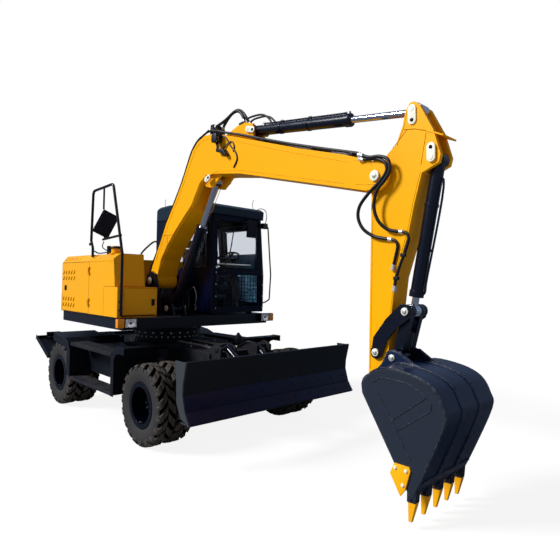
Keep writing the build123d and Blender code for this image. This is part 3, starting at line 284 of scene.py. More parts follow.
def _edges(tree: bpy.types.NodeTree) -> None:
    """Rounds sharp edges in the shading and masks the edges, for wear and, on some finishes, a painted
    highlight along them.
    """
    t = Tree(tree)
    ins, outs = _sockets(tree, {"Radius": 0.004, "Amount": 0.5, "Breakup": 35.0},
                         {"Mask": "NodeSocketFloat", "Normal": "NodeSocketVector"})
    bevel = t.add("ShaderNodeBevel", samples=4)
    t.feed(bevel.inputs["Radius"], ins["Radius"])
    true = t.add("ShaderNodeNewGeometry").outputs["Normal"]
    dot = t.add("ShaderNodeVectorMath", operation="DOT_PRODUCT")
    t.feed(dot.inputs[0], bevel.outputs[0])
    t.feed(dot.inputs[1], true)
    where = t.where()
    patches = t.ramp(t.noise(where, ins["Breakup"], 4.0), 0.42, 0.68)
    rubbed_and_highlit = t.ramp(t.math("SUBTRACT", 1.0, dot.outputs["Value"]), 0.03, 0.22)
    t.feed(outs["Mask"], t.math("MULTIPLY", t.math("MULTIPLY", rubbed_and_highlit, patches), ins["Amount"], clamp=True))
    t.feed(outs["Normal"], bevel.outputs[0])


def _dust(tree: bpy.types.NodeTree) -> None:
    """Masks dust that lies on upper faces and splashes up from the ground."""
    t = Tree(tree)
    ins, outs = _sockets(tree, {"Amount": 0.4, "Reach": 1.1, "Scale": 9.0}, {"Mask": "NodeSocketFloat"})
    where = t.where()
    facing = t.apart(t.add("ShaderNodeNewGeometry").outputs["Normal"])
    upward = t.ramp(facing["Z"], 0.35, 0.95)
    splash = t.math("SUBTRACT", 1.0, t.math("DIVIDE", t.apart(where)["Z"], ins["Reach"], clamp=True),
                    clamp=True)
    cover = t.math("MAXIMUM", t.math("MULTIPLY", upward, 0.8), t.math("MULTIPLY", splash, 0.75))
    patches = t.ramp(t.noise(where, ins["Scale"], 6.0), 0.32, 0.7, 0.15, 1.0)
    t.feed(outs["Mask"], t.math("MULTIPLY", t.math("MULTIPLY", cover, patches), ins["Amount"], clamp=True))


def _tone(tree: bpy.types.NodeTree) -> None:
    """Lets a colour drift a little lighter and darker over a surface."""
    t = Tree(tree)
    ins, outs = _sockets(tree, {"Color": (0.5, 0.5, 0.5, 1.0), "Amount": 0.1, "Scale": 2.5},
                         {"Color": "NodeSocketColor"})
    where = t.where()
    drift = t.math("SUBTRACT", t.noise(where, ins["Scale"], 2.0), 0.5)
    shade = t.math("ADD", 1.0, t.math("MULTIPLY", drift, t.math("MULTIPLY", ins["Amount"], 2.0)))
    scaled = t.add("ShaderNodeVectorMath", operation="SCALE")
    t.feed(scaled.inputs[0], ins["Color"])
    t.feed(scaled.inputs["Scale"], shade)
    t.feed(outs["Color"], scaled.outputs[0])


def _skin(tree: bpy.types.NodeTree) -> None:
    """The height of a fine skin, such as sprayed paint, cast iron or moulded grain."""
    t = Tree(tree)
    ins, outs = _sockets(tree, {"Fine": 400.0, "Coarse": 30.0, "Balance": 0.5},
                         {"Height": "NodeSocketFloat", "Value": "NodeSocketFloat"})
    where = t.where()
    fine, coarse = t.noise(where, ins["Fine"], 2.0), t.noise(where, ins["Coarse"], 3.0)
    kept = t.math("SUBTRACT", 1.0, ins["Balance"])
    height = t.math("ADD", t.math("MULTIPLY", fine, ins["Balance"]), t.math("MULTIPLY", coarse, kept))
    t.feed(outs["Height"], height)
    t.feed(outs["Value"], coarse)


# ------------------------------------------------------------------ finishes
def linear(red: int, green: int, blue: int) -> Colour:
    """A colour given in screen values, as linear red, green, blue and alpha."""
    parts = [c / 255 for c in (red, green, blue)]
    return tuple(p / 12.92 if p <= 0.04045 else ((p + 0.055) / 1.055) ** 2.4 for p in parts) + (1.0,)


@dataclass(frozen=True)
class Finish:
    """A surface: its colour, gloss, skin, edges marked with wear and on some finishes a painted highlight,
    and the dust on it.
    """

    name: str
    colour: Colour
    slot: str
    roughness: float = 0.45
    specular: float = 0.4
    metallic: float = 0.0
    coat: float = 0.0
    drift: float = 0.06
    # The colour along the edges' mask: wear, and on some finishes a painted highlight along the edges.
    bare_and_highlight: Colour = (0.12, 0.11, 0.10, 1.0)
    wear: float = 0.35
    edge: float = 0.004
    dust: float = 0.2
    reach: float = 1.1
    dust_colour: Colour = (0.16, 0.13, 0.10, 1.0)
    fine: float = 420.0
    coarse: float = 26.0
    balance: float = 0.5
    bump: float = 0.03
    depth: float = 0.0015

    def material(self) -> bpy.types.Material:
        """The finish's material, built the first time it is asked for."""
        known = bpy.data.materials.get(self.name)
        if known:
            return known
        material = bpy.data.materials.new(self.name)
        material.use_nodes = True
        material.diffuse_color = self.colour
        tree = material.node_tree
        tree.nodes.clear()
        self.fill(Tree(tree))
        return material

    def fill(self, t: Tree) -> None:
        """Build the material's nodes.

        Args:
            t: The material's empty tree.
        """
        shader = self.surface(t)
        tone = self.group(t, Effect.TONE, Color=self.colour, Amount=self.drift)
        edges = self.group(t, Effect.EDGES, Radius=self.edge, Amount=self.wear)
        dust = self.group(t, Effect.DUST, Amount=self.dust, Reach=self.reach)
        skin = self.group(t, Effect.SKIN, Fine=self.fine, Coarse=self.coarse, Balance=self.balance)
        # Mixes the edge colour in along the edge mask: wear, and on some finishes a painted highlight.
        worn_and_highlit = t.mix(edges.outputs["Mask"], self.pattern(t, tone.outputs["Color"]), self.bare_and_highlight)
        t.feed(shader.inputs["Base Color"], t.mix(dust.outputs["Mask"], worn_and_highlit, self.dust_colour))
        gloss = t.math("ADD", self.roughness - GLOSS_DROP, t.math("MULTIPLY", skin.outputs["Value"],
                                                                  GLOSS_SPREAD))
        dulled = t.math("MULTIPLY", dust.outputs["Mask"], DUST_ROUGHNESS)
        t.feed(shader.inputs["Roughness"], t.math("ADD", gloss, dulled, clamp=True))
        shader.inputs["Metallic"].default_value = self.metallic
        shader.inputs["Specular IOR Level"].default_value = self.specular
        shader.inputs["Coat Weight"].default_value = self.coat
        shader.inputs["Coat Roughness"].default_value = COAT_ROUGHNESS
        bump = self.bumped(t, shader, self.relief(t, skin.outputs["Height"]))
        t.feed(bump.inputs["Normal"], edges.outputs["Normal"])

    def surface(self, t: Tree) -> bpy.types.Node:
        """The Principled shader, joined to the material's output."""
        shader = t.add("ShaderNodeBsdfPrincipled")
        t.feed(t.add("ShaderNodeOutputMaterial").inputs["Surface"], shader.outputs[0])
        return shader

    def bumped(self, t: Tree, shader: bpy.types.Node, height: bpy.types.NodeSocket) -> bpy.types.Node:
        """A bump of the finish's own strength and depth, joined from a height to the shader."""
        bump = t.add("ShaderNodeBump")
        bump.inputs["Strength"].default_value = self.bump
        bump.inputs["Distance"].default_value = self.depth
        t.feed(bump.inputs["Height"], height)
        t.feed(shader.inputs["Normal"], bump.outputs[0])
        return bump

    def group(self, t: Tree, effect: Effect, **values: object) -> bpy.types.Node:
        """Place an effect's group in the material with its own values."""
        node = t.add("ShaderNodeGroup", node_tree=shader_group(effect))
        for name, value in values.items():
            node.inputs[name].default_value = value
        return node

    def pattern(self, t: Tree, colour: bpy.types.NodeSocket) -> bpy.types.NodeSocket:
        """The colour with the finish's own pattern; plain here."""
        return colour

    def relief(self, t: Tree, height: bpy.types.NodeSocket) -> bpy.types.NodeSocket:
        """The height with the finish's own relief; plain here."""
        return height

    def dress(self, *pieces: bpy.types.Object) -> None:
        """Put the finish on every slot of each piece."""
        for piece in pieces:
            if not piece.data.materials:
                piece.data.materials.append(None)
            for entry in piece.material_slots:
                entry.material = self.material()


@dataclass(frozen=True)
class Woven(Finish):
    """A woven cloth with a fine over-and-under weave."""

    pitch: float = 0.0035

    def threads(self, t: Tree) -> bpy.types.NodeSocket:
        """The height of the crossing threads."""
        place = t.apart(t.where())
        turns = math.tau / self.pitch
        waves = [t.math("SINE", t.math("MULTIPLY", place[axis], turns)) for axis in ("X", "Y", "Z")]
        crossed = t.math("ADD", t.math("MULTIPLY", waves[0], waves[1]),
                         t.math("MULTIPLY", waves[1], waves[2]))
        return t.math("ADD", 0.5, t.math("MULTIPLY", crossed, 0.25))

    def pattern(self, t: Tree, colour: bpy.types.NodeSocket) -> bpy.types.NodeSocket:
        """Darker between the threads."""
        return t.mix(t.math("MULTIPLY", self.threads(t), 0.35, clamp=True), colour, (0.1, 0.1, 0.11, 1.0))

    def relief(self, t: Tree, height: bpy.types.NodeSocket) -> bpy.types.NodeSocket:
        """The threads on top of the cloth's softness."""
        return t.math("ADD", t.math("MULTIPLY", height, 0.4), t.math("MULTIPLY", self.threads(t), 0.6))


@dataclass(frozen=True)
class LitFlanks(Finish):
    """Paint painted lighter on both flanks, painted light where the light falls on the sides, and darker
    between them.
    """

    flank: Colour = (0.1, 0.1, 0.1, 1.0)
    middle: float = -0.160
    half: float = 0.366

    def pattern(self, t: Tree, colour: bpy.types.NodeSocket) -> bpy.types.NodeSocket:
        """The lighter flank colour, painted light, beyond the half width."""
        place = t.apart(t.where())
        off = t.math("ABSOLUTE", t.math("SUBTRACT", place["Y"], self.middle))
        return t.mix(t.ramp(off, self.half, self.half + 0.002), colour, self.flank)


@dataclass(frozen=True)
class Clear(Finish):
    """A clear pane or lens."""

    smooth: float = 0.02

    def fill(self, t: Tree) -> None:
        """Build the clear material: a tinted pane with faint dust on it."""
        shader = self.surface(t)
        tone = self.group(t, Effect.TONE, Color=self.colour, Amount=self.drift)
        dust = self.group(t, Effect.DUST, Amount=self.dust, Reach=PANE_DUST_REACH)
        t.feed(shader.inputs["Base Color"], t.mix(dust.outputs["Mask"], tone.outputs["Color"],
                                                  self.dust_colour))
        shader.inputs["Roughness"].default_value = self.smooth
        shader.inputs["Transmission Weight"].default_value = 1.0
        shader.inputs["IOR"].default_value = LENS_INDEX if self.bump else PANE_INDEX
        skin = self.group(t, Effect.SKIN, Fine=self.fine, Coarse=self.coarse, Balance=self.balance)
        self.bumped(t, shader, skin.outputs["Height"])


class Palette:
    """Every finish on the machine."""

    yellow = Finish("machine_yellow", linear(255, 179, 0), "yellow_paint", 0.42, 0.12, drift=0.03, wear=0.05,
                    bare_and_highlight=(0.42, 0.18, 0.01, 1), dust=0.04, dust_colour=(0.45, 0.24, 0.03, 1), edge=0.006,
                    bump=0.02)
    panel = replace(yellow, name="panel_yellow", roughness=0.34, specular=0.18, coat=0.12, edge=0.022,
                    bump=0.01)
    # A darker yellow of painted shade for louvre openings, vents, slats and the lines where plates meet, and
    # a lighter one for the painted shade in the panels' gaps and the shoulder's crease.
    shade_yellow = Finish("yellow_seam", linear(150, 100, 0), "yellow_paint", 0.6, 0.1, wear=0.0, dust=0.0)
    joint = replace(shade_yellow, name="panel_joint", colour=linear(206, 140, 0))
    # The chassis black's and the deck's light edge colours paint highlight lines along their edges as well as
    # wear.
    black = Finish("chassis_black", linear(12, 15, 25), "black_paint", 0.42, 0.22, drift=0.15, wear=0.3,
                   dust=0.12, bare_and_highlight=linear(80, 84, 94), edge=0.005, bump=0.05, dust_colour=linear(64, 62, 62))
    deck = Finish("dusty_deck", linear(18, 20, 28), "black_paint", 0.55, 0.25, drift=0.25, wear=0.4,
                  dust=0.45, reach=1.3, bare_and_highlight=linear(96, 98, 104), dust_colour=linear(84, 80, 80), bump=0.2)
    skirt = Finish("skirt_black", linear(10, 13, 24), "black_paint", 0.34, 0.3, coat=0.1, drift=0.1, wear=0.2,
                   dust=0.05, bare_and_highlight=linear(74, 78, 88), bump=0.03)
    cab = Finish("cab_black", linear(2, 8, 36), "cab_paint", 0.34, 0.16, coat=0.06, drift=0.12, wear=0.15,
                 dust=0.03, reach=0.9, bare_and_highlight=linear(24, 60, 78), dust_colour=linear(20, 44, 56), bump=0.02,
                 edge=0.012)
    # The roof is a lighter teal copy of the cab's paint with bright teal edges: a painted highlight on the
    # roof.
    roof = replace(cab, name="roof_black", colour=linear(6, 30, 46), specular=0.3, coat=0.2,
                   bare_and_highlight=linear(40, 104, 120))
    cylinder = Finish("cylinder_black", linear(4, 8, 26), "black_paint", 0.25, 0.4, coat=0.3, drift=0.1,
                      wear=0.08, dust=0.03, bare_and_highlight=linear(60, 64, 74), bump=0.02)
    bucket = Finish("bucket_black", linear(34, 42, 56), "bucket_paint", 0.42, 0.25, drift=0.14, wear=0.6,
                    dust=0.1, reach=0.8, bare_and_highlight=linear(150, 152, 156), dust_colour=linear(70, 68, 70),
                    edge=0.005, bump=0.1)
    # The bucket's flanks are painted lighter and its shell's middle a darker deep blue: painted light on the
    # sides and painted shade on the back. Its light edge colour over a wide rounding paints a highlight along
    # the corners as well as wear.
    shell = LitFlanks("bucket_shell", linear(8, 26, 58), "bucket_paint", 0.34, 0.35, coat=0.1, drift=0.2,
                    wear=0.7, dust=0.05, reach=0.8, bare_and_highlight=linear(120, 126, 136),
                    dust_colour=linear(44, 50, 60), edge=0.030, bump=0.06, flank=linear(36, 43, 56))
    # The blade's end plates are painted lighter than its front: painted light on the sides.
    blade = LitFlanks("blade_black", linear(22, 27, 34), "blade_paint", 0.4, 0.2, drift=0.14, wear=0.35,
                    dust=0.08, bare_and_highlight=linear(110, 114, 122), dust_colour=linear(60, 48, 44), bump=0.06,
                    flank=linear(60, 64, 70), middle=0.0, half=1.167)
    edge = Finish("cutting_edge_blue", linear(2, 16, 56), "blade_paint", 0.35, 0.25, drift=0.2, wear=0.25,
                  dust=0.7, reach=1.0, bare_and_highlight=linear(60, 80, 120), dust_colour=linear(50, 18, 20), bump=0.04)
    # The rim's light edge colour paints a highlight along its edges as well as wear.
    rim = Finish("rim_black", linear(2, 5, 16), "rim_paint", 0.3, 0.2, coat=0.12, drift=0.1, wear=0.5,
                 dust=0.0, bare_and_highlight=linear(70, 82, 108), edge=0.004, bump=0.03)
    nut = replace(rim, name="wheel_nut", colour=linear(30, 38, 58), wear=0.4, edge=0.003)
    # Near-black floors between the tread blocks: painted shade in the grooves.
    groove = Finish("tread_groove", linear(3, 3, 5), "tyre", 0.95, 0.02, wear=0.0, dust=0.0, bump=0.1)
    tyre = Finish("tyre_rubber", linear(50, 49, 50), "tyre", 0.72, 0.2, drift=0.15, wear=1.0, dust=0.12,
                  reach=0.95, bare_and_highlight=linear(160, 150, 142), dust_colour=linear(92, 86, 82), edge=0.005,
                  fine=300, coarse=60, bump=0.2)
    # The tread blocks are a lighter copy of the tyre's rubber: painted light where the light falls on the
    # tread.
    lug = replace(tyre, name="tread_rubber", colour=linear(74, 68, 64), dust_colour=linear(112, 102, 94),
                  wear=0.5)
    chrome = Finish("rod_chrome", (0.42, 0.41, 0.39, 1), "rod_chrome", 0.2, 0.5, metallic=0.45, drift=0.3,
                    wear=0.0, dust=0.02, bump=0.01, coarse=12)
    cast = Finish("cast_black", linear(18, 20, 27), "cast", 0.55, 0.3, drift=0.15, wear=0.35, dust=0.2,
                  bare_and_highlight=linear(90, 88, 86), dust_colour=linear(74, 70, 68), fine=260, coarse=90, balance=0.6,
                  bump=0.4)
    tooth = Finish("tooth_yellow", linear(255, 180, 6), "tooth_paint", 0.5, 0.2, drift=0.08, wear=0.8,
                   dust=0.05, reach=0.3, bare_and_highlight=linear(84, 60, 30), dust_colour=linear(120, 84, 40), edge=0.006,
                   fine=260, coarse=70, bump=0.25)
    cap = Finish("cap_white", linear(240, 240, 226), "yellow_paint", 0.4, 0.3, drift=0.04, wear=0.25,
                 dust=0.0, bare_and_highlight=linear(140, 140, 130), edge=0.003, bump=0.03)
    zinc = Finish("zinc_plate", linear(225, 225, 220), "rod_chrome", 0.36, 0.5, metallic=0.6, drift=0.1,
                  wear=0.2, dust=0.05, bump=0.06)
    hose = Finish("hose_rubber", linear(14, 16, 24), "plastic", 0.45, 0.35, drift=0.1, wear=0.0, dust=0.03,
                  fine=500, coarse=140, bump=0.15)
    seal = Finish("seal_rubber", linear(6, 8, 13), "plastic", 0.6, 0.2, wear=0.0, dust=0.03, bump=0.08)
    plastic = Finish("moulded_black", linear(8, 11, 20), "plastic", 0.5, 0.3, drift=0.08, wear=0.1, dust=0.03,
                     bare_and_highlight=linear(50, 54, 62), fine=650, coarse=160, balance=0.7, bump=0.25)
    lining = Finish("cab_lining", linear(104, 158, 188), "plastic", 0.6, 0.2, drift=0.12, wear=0.0, dust=0.05,
                    dust_colour=linear(60, 90, 110), fine=650, coarse=160, balance=0.7, bump=0.15)
    liner = replace(lining, name="roof_cloth", colour=linear(232, 236, 244), dust=0.0)
    sash = Finish("tinted_sash", linear(40, 84, 116), "plastic", 0.3, 0.4, coat=0.2, drift=0.25, wear=0.0,
                  dust=0.1, dust_colour=linear(90, 140, 160), bump=0.02)
    trim = Finish("cab_trim_grey", linear(36, 58, 74), "plastic", 0.55, 0.3, drift=0.08, wear=0.05, dust=0.03,
                  fine=650, coarse=160, balance=0.7, bump=0.2)
    cloth = Woven("seat_cloth", linear(24, 34, 52), "seat_fabric", 0.85, 0.1, drift=0.1, wear=0.0, dust=0.04,
                  bump=0.6, depth=0.002, edge=0.001)
    mirror = Finish("mirror_glass", (0.75, 0.78, 0.8, 1), "rod_chrome", 0.05, 0.5, metallic=1.0, wear=0.0,
                    dust=0.03, bump=0.0)
    glass = Clear("window_glass", (0.78, 0.80, 0.84, 1), "window", drift=0.02, dust=0.03, bump=0.0,
                  dust_colour=(0.45, 0.48, 0.5, 1))
    lens = Clear("lamp_lens", (0.95, 0.96, 1.0, 1), "lamp", drift=0.02, dust=0.04, bump=0.4, depth=0.003,
                 fine=90, coarse=40)
    amber = Finish("amber_lens", linear(255, 160, 16), "lamp", 0.22, 0.5, coat=0.4, drift=0.1, wear=0.0,
                   dust=0.03, bump=0.35, depth=0.003, fine=90, coarse=40)
    red = replace(amber, name="red_lens", colour=linear(190, 14, 10))
    bowl = Finish("lamp_bowl", linear(236, 240, 246), "rod_chrome", 0.22, 0.5, metallic=0.3, wear=0.0,
                  dust=0.02, coarse=60, bump=0.2)


# ------------------------------------------------------------------ shapes
def spline(points: Sequence[Vector], each: int = 8) -> list[Vector]:
    """A smooth line through points.

    Args:
        points: Points that the line passes through.
        each: Steps between two of them.

    Returns:
        Points along a centripetal Catmull-Rom line.
    """
    if len(points) < 3:
        return list(points)
    ends = [points[0] * 2 - points[1], *points, points[-1] * 2 - points[-2]]
    line: list[Vector] = []
    for a, b, c, d in zip(ends, ends[1:], ends[2:], ends[3:]):
        knots = [0.0]
        for p, q in ((a, b), (b, c), (c, d)):
            knots.append(knots[-1] + max((q - p).length, TINY) ** 0.5)
        k0, k1, k2, k3 = knots
        for step in range(each):
            t = k1 + (k2 - k1) * step / each
            ab = a * ((k1 - t) / (k1 - k0)) + b * ((t - k0) / (k1 - k0))
            bc = b * ((k2 - t) / (k2 - k1)) + c * ((t - k1) / (k2 - k1))
            cd = c * ((k3 - t) / (k3 - k2)) + d * ((t - k2) / (k3 - k2))
            abc = ab * ((k2 - t) / (k2 - k0)) + bc * ((t - k0) / (k2 - k0))
            bcd = bc * ((k3 - t) / (k3 - k1)) + cd * ((t - k1) / (k3 - k1))
            line.append(abc * ((k2 - t) / (k2 - k1)) + bcd * ((t - k1) / (k2 - k1)))
    return line + [points[-1]]


def drum(radius: float, length: float) -> list[Pair]:
    """The profile of a plain round bar."""
    return [(0, 0), (0, radius), (length, radius), (length, 0)]


class Shape:
    """A mesh being built, in the frame's own axes."""

    def __init__(self) -> None:
        """Start with nothing."""
        self.bm = bmesh.new()

    def block(self, low: Sequence[float], high: Sequence[float], bevel: float = 0.003,
              turn: Matrix | None = None) -> "Shape":
        """Add a box with softened edges.

        Args:
            low: One corner.
            high: The opposite corner.
            bevel: How far the edges are cut back.
            turn: A matrix put on the box about its own middle.

        Returns:
            This shape.
        """
        low_v, high_v = Vector(low), Vector(high)
        size = high_v - low_v
        middle = Matrix.Translation((low_v + high_v) / 2)
        made = bmesh.ops.create_cube(self.bm, size=1.0, matrix=middle @ (turn or Matrix()).to_4x4()
                                     @ Matrix.Diagonal((abs(size.x), abs(size.y), abs(size.z), 1)))
        self._soften(made["verts"], bevel)
        return self

    def plate(self, outline: Sequence[Vector], thickness: Vector, bevel: float = 0.0) -> "Shape":
        """Add a flat plate.

        Args:
            outline: The corners of one face, in order.
            thickness: From that face to the opposite one.
            bevel: How far the edges are cut back.

        Returns:
            This shape.
        """
        near = [self.bm.verts.new(p) for p in outline]
        far = [self.bm.verts.new(p + thickness) for p in outline]
        faces = [self.bm.faces.new(near), self.bm.faces.new(far[::-1])]
        count = len(outline)
        for i in range(count):
            j = (i + 1) % count
            faces.append(self.bm.faces.new((near[i], far[i], far[j], near[j])))
        bmesh.ops.recalc_face_normals(self.bm, faces=faces)
        self._soften(near + far, bevel)
        return self

    def slab(self, outline: Sequence[Pair], y0: float, y1: float, bevel: float = 0.0) -> "Shape":
        """Add a plate with a side-view outline between two sides."""
        return self.plate([Vector((x, y0, z)) for x, z in outline], Vector((0, y1 - y0, 0)), bevel)

    def lathe(self, profile: Sequence[Pair], centre: Vector, axis: Sequence[float], steps: int = 32,
              loop: bool = False) -> "Shape":
        """Add a turned shape.

        Args:
            profile: Points (distance along the axis, radius); closed where a radius is 0.
            centre: Where distance 0 lies.
            axis: The way along the axis.
            steps: How many steps a turn has.
            loop: Whether the profile's last point joins its first.

        Returns:
            This shape.
        """
        way = Vector(axis).normalized()
        across = way.orthogonal().normalized()
        rings: list[list[bmesh.types.BMVert]] = []
        for along, radius in profile:
            base = centre + way * along
            if radius < TINY:
                rings.append([self.bm.verts.new(base)])
            else:
                rings.append([self.bm.verts.new(base + Matrix.Rotation(math.tau * s / steps, 3,
                                                                       way) @ across * radius)
                              for s in range(steps)])
        faces = []
        for one, two in zip(rings, rings[1:] + rings[:1] if loop else rings[1:]):
            for s in range(steps):
                e = (s + 1) % steps
                corners = [one[s % len(one)], one[e % len(one)], two[e % len(two)], two[s % len(two)]]
                unique = list(dict.fromkeys(corners))
                if len(unique) > 2:
                    faces.append(self.bm.faces.new(unique))
        bmesh.ops.recalc_face_normals(self.bm, faces=faces)
        return self

    def tube(self, points: Sequence[Vector], radius: float, sides: int = 10, each: int = 8,
             smooth: bool = True) -> "Shape":
        """Add a round tube along a line.

        Args:
            points: Points that the tube's middle passes through.
            radius: The tube's radius.
            sides: Corners round the tube.
            each: Steps between two points.
            smooth: Whether the line is rounded through the points.

        Returns:
            This shape.
        """
        line = spline(points, each) if smooth else list(points)
        ways = [(line[min(i + 1, len(line) - 1)] - line[max(i - 1,
                                                            0)]).normalized() for i in range(len(line))]
        across = ways[0].orthogonal().normalized()
        rings = []
        for place, way in zip(line, ways):
            across = (across - way * across.dot(way)).normalized()
            up = way.cross(across)
            rings.append([self.bm.verts.new(place + (across * math.cos(a) + up * math.sin(a)) * radius)
                          for a in (math.tau * s / sides for s in range(sides))])
        faces = [self.bm.faces.new(rings[0][::-1]), self.bm.faces.new(rings[-1])]
        for one, two in zip(rings, rings[1:]):
            for s in range(sides):
                e = (s + 1) % sides
                faces.append(self.bm.faces.new((one[s], one[e], two[e], two[s])))
        bmesh.ops.recalc_face_normals(self.bm, faces=faces)
        return self

    def close(self, rows: Sequence[Sequence[bmesh.types.BMVert]]) -> "Shape":
        """Close rows of new vertices, each a loop of the same length, into one skin with flat ends."""
        faces = [self.bm.faces.new(rows[0]), self.bm.faces.new(rows[-1])]
        last = len(rows[0]) - 1
        for one, two in zip(rows, rows[1:]):
            faces += [self.bm.faces.new((one[k], one[k + 1], two[k + 1], two[k])) for k in range(last)]
            faces.append(self.bm.faces.new((one[last], one[0], two[0], two[last])))
        bmesh.ops.recalc_face_normals(self.bm, faces=faces)
        return self

    def hexagon(self, centre: Vector, axis: Sequence[float], across: float, height: float) -> "Shape":
        """Add a bolt's head with its washer.

        Args:
            centre: The middle of the seat.
            axis: The way out of the seat.
            across: The head's width over its flats.
            height: The head's height.

        Returns:
            This shape.
        """
        self.lathe(drum(across * WASHER_RADIUS, height * WASHER_HEIGHT), centre, axis, 12)
        corner, foot = across / math.sqrt(3), height * HEAD_FOOT
        return self.lathe([(foot, 0), (foot, corner), (height * HEAD_SHOULDER, corner),
                           (height, corner * HEAD_TOP), (height, 0)], centre, axis, 6)

    def _soften(self, verts: Iterable[bmesh.types.BMVert], bevel: float) -> None:
        """Cut back the edges between some new vertices."""
        if bevel <= 0:
            return
        edges = list(dict.fromkeys(edge for vert in verts for edge in vert.link_edges))
        bmesh.ops.bevel(self.bm, geom=edges, offset=bevel, segments=2, profile=0.6, affect="EDGES",
                        clamp_overlap=True)

    def _order(self) -> None:
        """Put vertices and faces in order of place, because a bevel's own order changes from run to run."""
        self.bm.normal_update()
        verts = sorted(self.bm.verts, key=lambda vert: vert.co.to_tuple(PLACE_DIGITS))
        faces = sorted(self.bm.faces, key=lambda face: (face.calc_center_median().to_tuple(PLACE_DIGITS),
                                                        face.normal.to_tuple(NORMAL_DIGITS)))
        for every, placed in ((self.bm.verts, verts), (self.bm.faces, faces)):
            for index, element in enumerate(placed):
                element.index = index
            every.sort()

    def copy(self) -> "Shape":
        """A fresh copy of a shape, because building a mesh frees it."""
        fresh = Shape()
        fresh.bm.free()
        fresh.bm = self.bm.copy()
        return fresh

    def mesh(self, name: str) -> bpy.types.Mesh:
        """Turn the shape into a mesh with smooth faces and sharp corners.

        Args:
            name: The mesh's name.

        Returns:
            The mesh.
        """
        mesh = bpy.data.meshes.new(name)
        self._order()
        self.bm.to_mesh(mesh)
        self.bm.free()
        mesh.polygons.foreach_set("use_smooth", [True] * len(mesh.polygons))
        mesh.set_sharp_from_angle(angle=SMOOTH_BELOW)
        return mesh

    def piece(self, name: str, finish: Finish) -> bpy.types.Object:
        """Turn the shape into an object with its finish.

        Args:
            name: The piece's name.
            finish: Its finish.

        Returns:
            The object, not yet riding on a body.
        """
        return make_object(self.mesh(name), finish)

    def settle(self, name: str, body: str, finish: Finish) -> bpy.types.Object:
        """Turn the shape into a finished piece that rides on a body.

        Args:
            name: The piece's name.
            body: The body's name.
            finish: Its finish.

        Returns:
            The piece.
        """
        return settle(self.piece(name, finish), body, finish)


def make_object(mesh: bpy.types.Mesh, finish: Finish) -> bpy.types.Object:
    """Put a mesh in the scene as an object at the origin, with its finish."""
    thing = bpy.data.objects.new(mesh.name, mesh)
    bpy.context.scene.collection.objects.link(thing)
    finish.dress(thing)
    return thing


def settle(piece: bpy.types.Object, body: str, finish: Finish) -> bpy.types.Object:
    """Let a finished piece ride on a body.

    Args:
        piece: The piece.
        body: The body's name.
        finish: Not used.

    Returns:
        The piece.
    """
    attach(piece, body)
    LOG.info("%s rides on %s with %d faces", piece.name, body, len(piece.data.polygons))
    return piece


# ------------------------------------------------------------------ repeated shapes
class Repeat(Enum):
    """How a shape is repeated; each is a geometry node tree."""

    RING = "repeat_round_an_axis"
    LATTICE = "repeat_on_a_lattice"


def geometry_tree(kind: Repeat) -> bpy.types.NodeTree:
    """The geometry node tree for a way of repeating, built once.

    Args:
        kind: Round an axis, or on a lattice.

    Returns:
        The tree; it ends in Realize Instances and Set Material.
    """
    known = bpy.data.node_groups.get(kind.value)
    if known:
        return known
    tree = bpy.data.node_groups.new(kind.value, "GeometryNodeTree")
    face = tree.interface
    face.new_socket("Geometry", in_out="INPUT", socket_type="NodeSocketGeometry")
    sizes = {Repeat.RING: {"Count": "Int", "Centre": "Vector", "Axis": "Vector", "Phase": "Float"},
             Repeat.LATTICE: {"Columns": "Int", "Column Step": "Vector", "Rows": "Int", "Row Step": "Vector",
                              "Start": "Vector"},}[kind]
    for name, sort in sizes.items():
        face.new_socket(name, in_out="INPUT", socket_type="NodeSocket" + sort)
    face.new_socket("Material", in_out="INPUT", socket_type="NodeSocketMaterial")
    face.new_socket("Geometry", in_out="OUTPUT", socket_type="NodeSocketGeometry")
    t = Tree(tree)
    entry, leave = t.add("NodeGroupInput"), t.add("NodeGroupOutput")
    stamp = {Repeat.RING: _ring, Repeat.LATTICE: _lattice}[kind](t, entry)
    real, coat = t.add("GeometryNodeRealizeInstances"), t.add("GeometryNodeSetMaterial")
    t.feed(real.inputs[0], stamp)
    t.feed(coat.inputs["Geometry"], real.outputs[0])
    t.feed(coat.inputs["Material"], entry.outputs["Material"])
    t.feed(leave.inputs[0], coat.outputs[0])
    return tree


def _ring(t: Tree, entry: bpy.types.Node) -> bpy.types.NodeSocket:
    """Instances turned step by step about an axis through a centre."""
    points = t.add("GeometryNodePoints")
    t.feed(points.inputs["Count"], entry.outputs["Count"])
    t.feed(points.inputs["Position"], entry.outputs["Centre"])
    step = t.math("DIVIDE", math.tau, entry.outputs["Count"])
    angle = t.math("ADD", t.math("MULTIPLY", t.add("GeometryNodeInputIndex").outputs[0], step),
                   entry.outputs["Phase"])
    turn = t.add("FunctionNodeAxisAngleToRotation")
    t.feed(turn.inputs["Axis"], entry.outputs["Axis"])
    t.feed(turn.inputs["Angle"], angle)
    stamp = t.add("GeometryNodeInstanceOnPoints")
    t.feed(stamp.inputs["Points"], points.outputs[0])
    t.feed(stamp.inputs["Instance"], entry.outputs["Geometry"])
    t.feed(stamp.inputs["Rotation"], turn.outputs[0])
    return stamp.outputs[0]


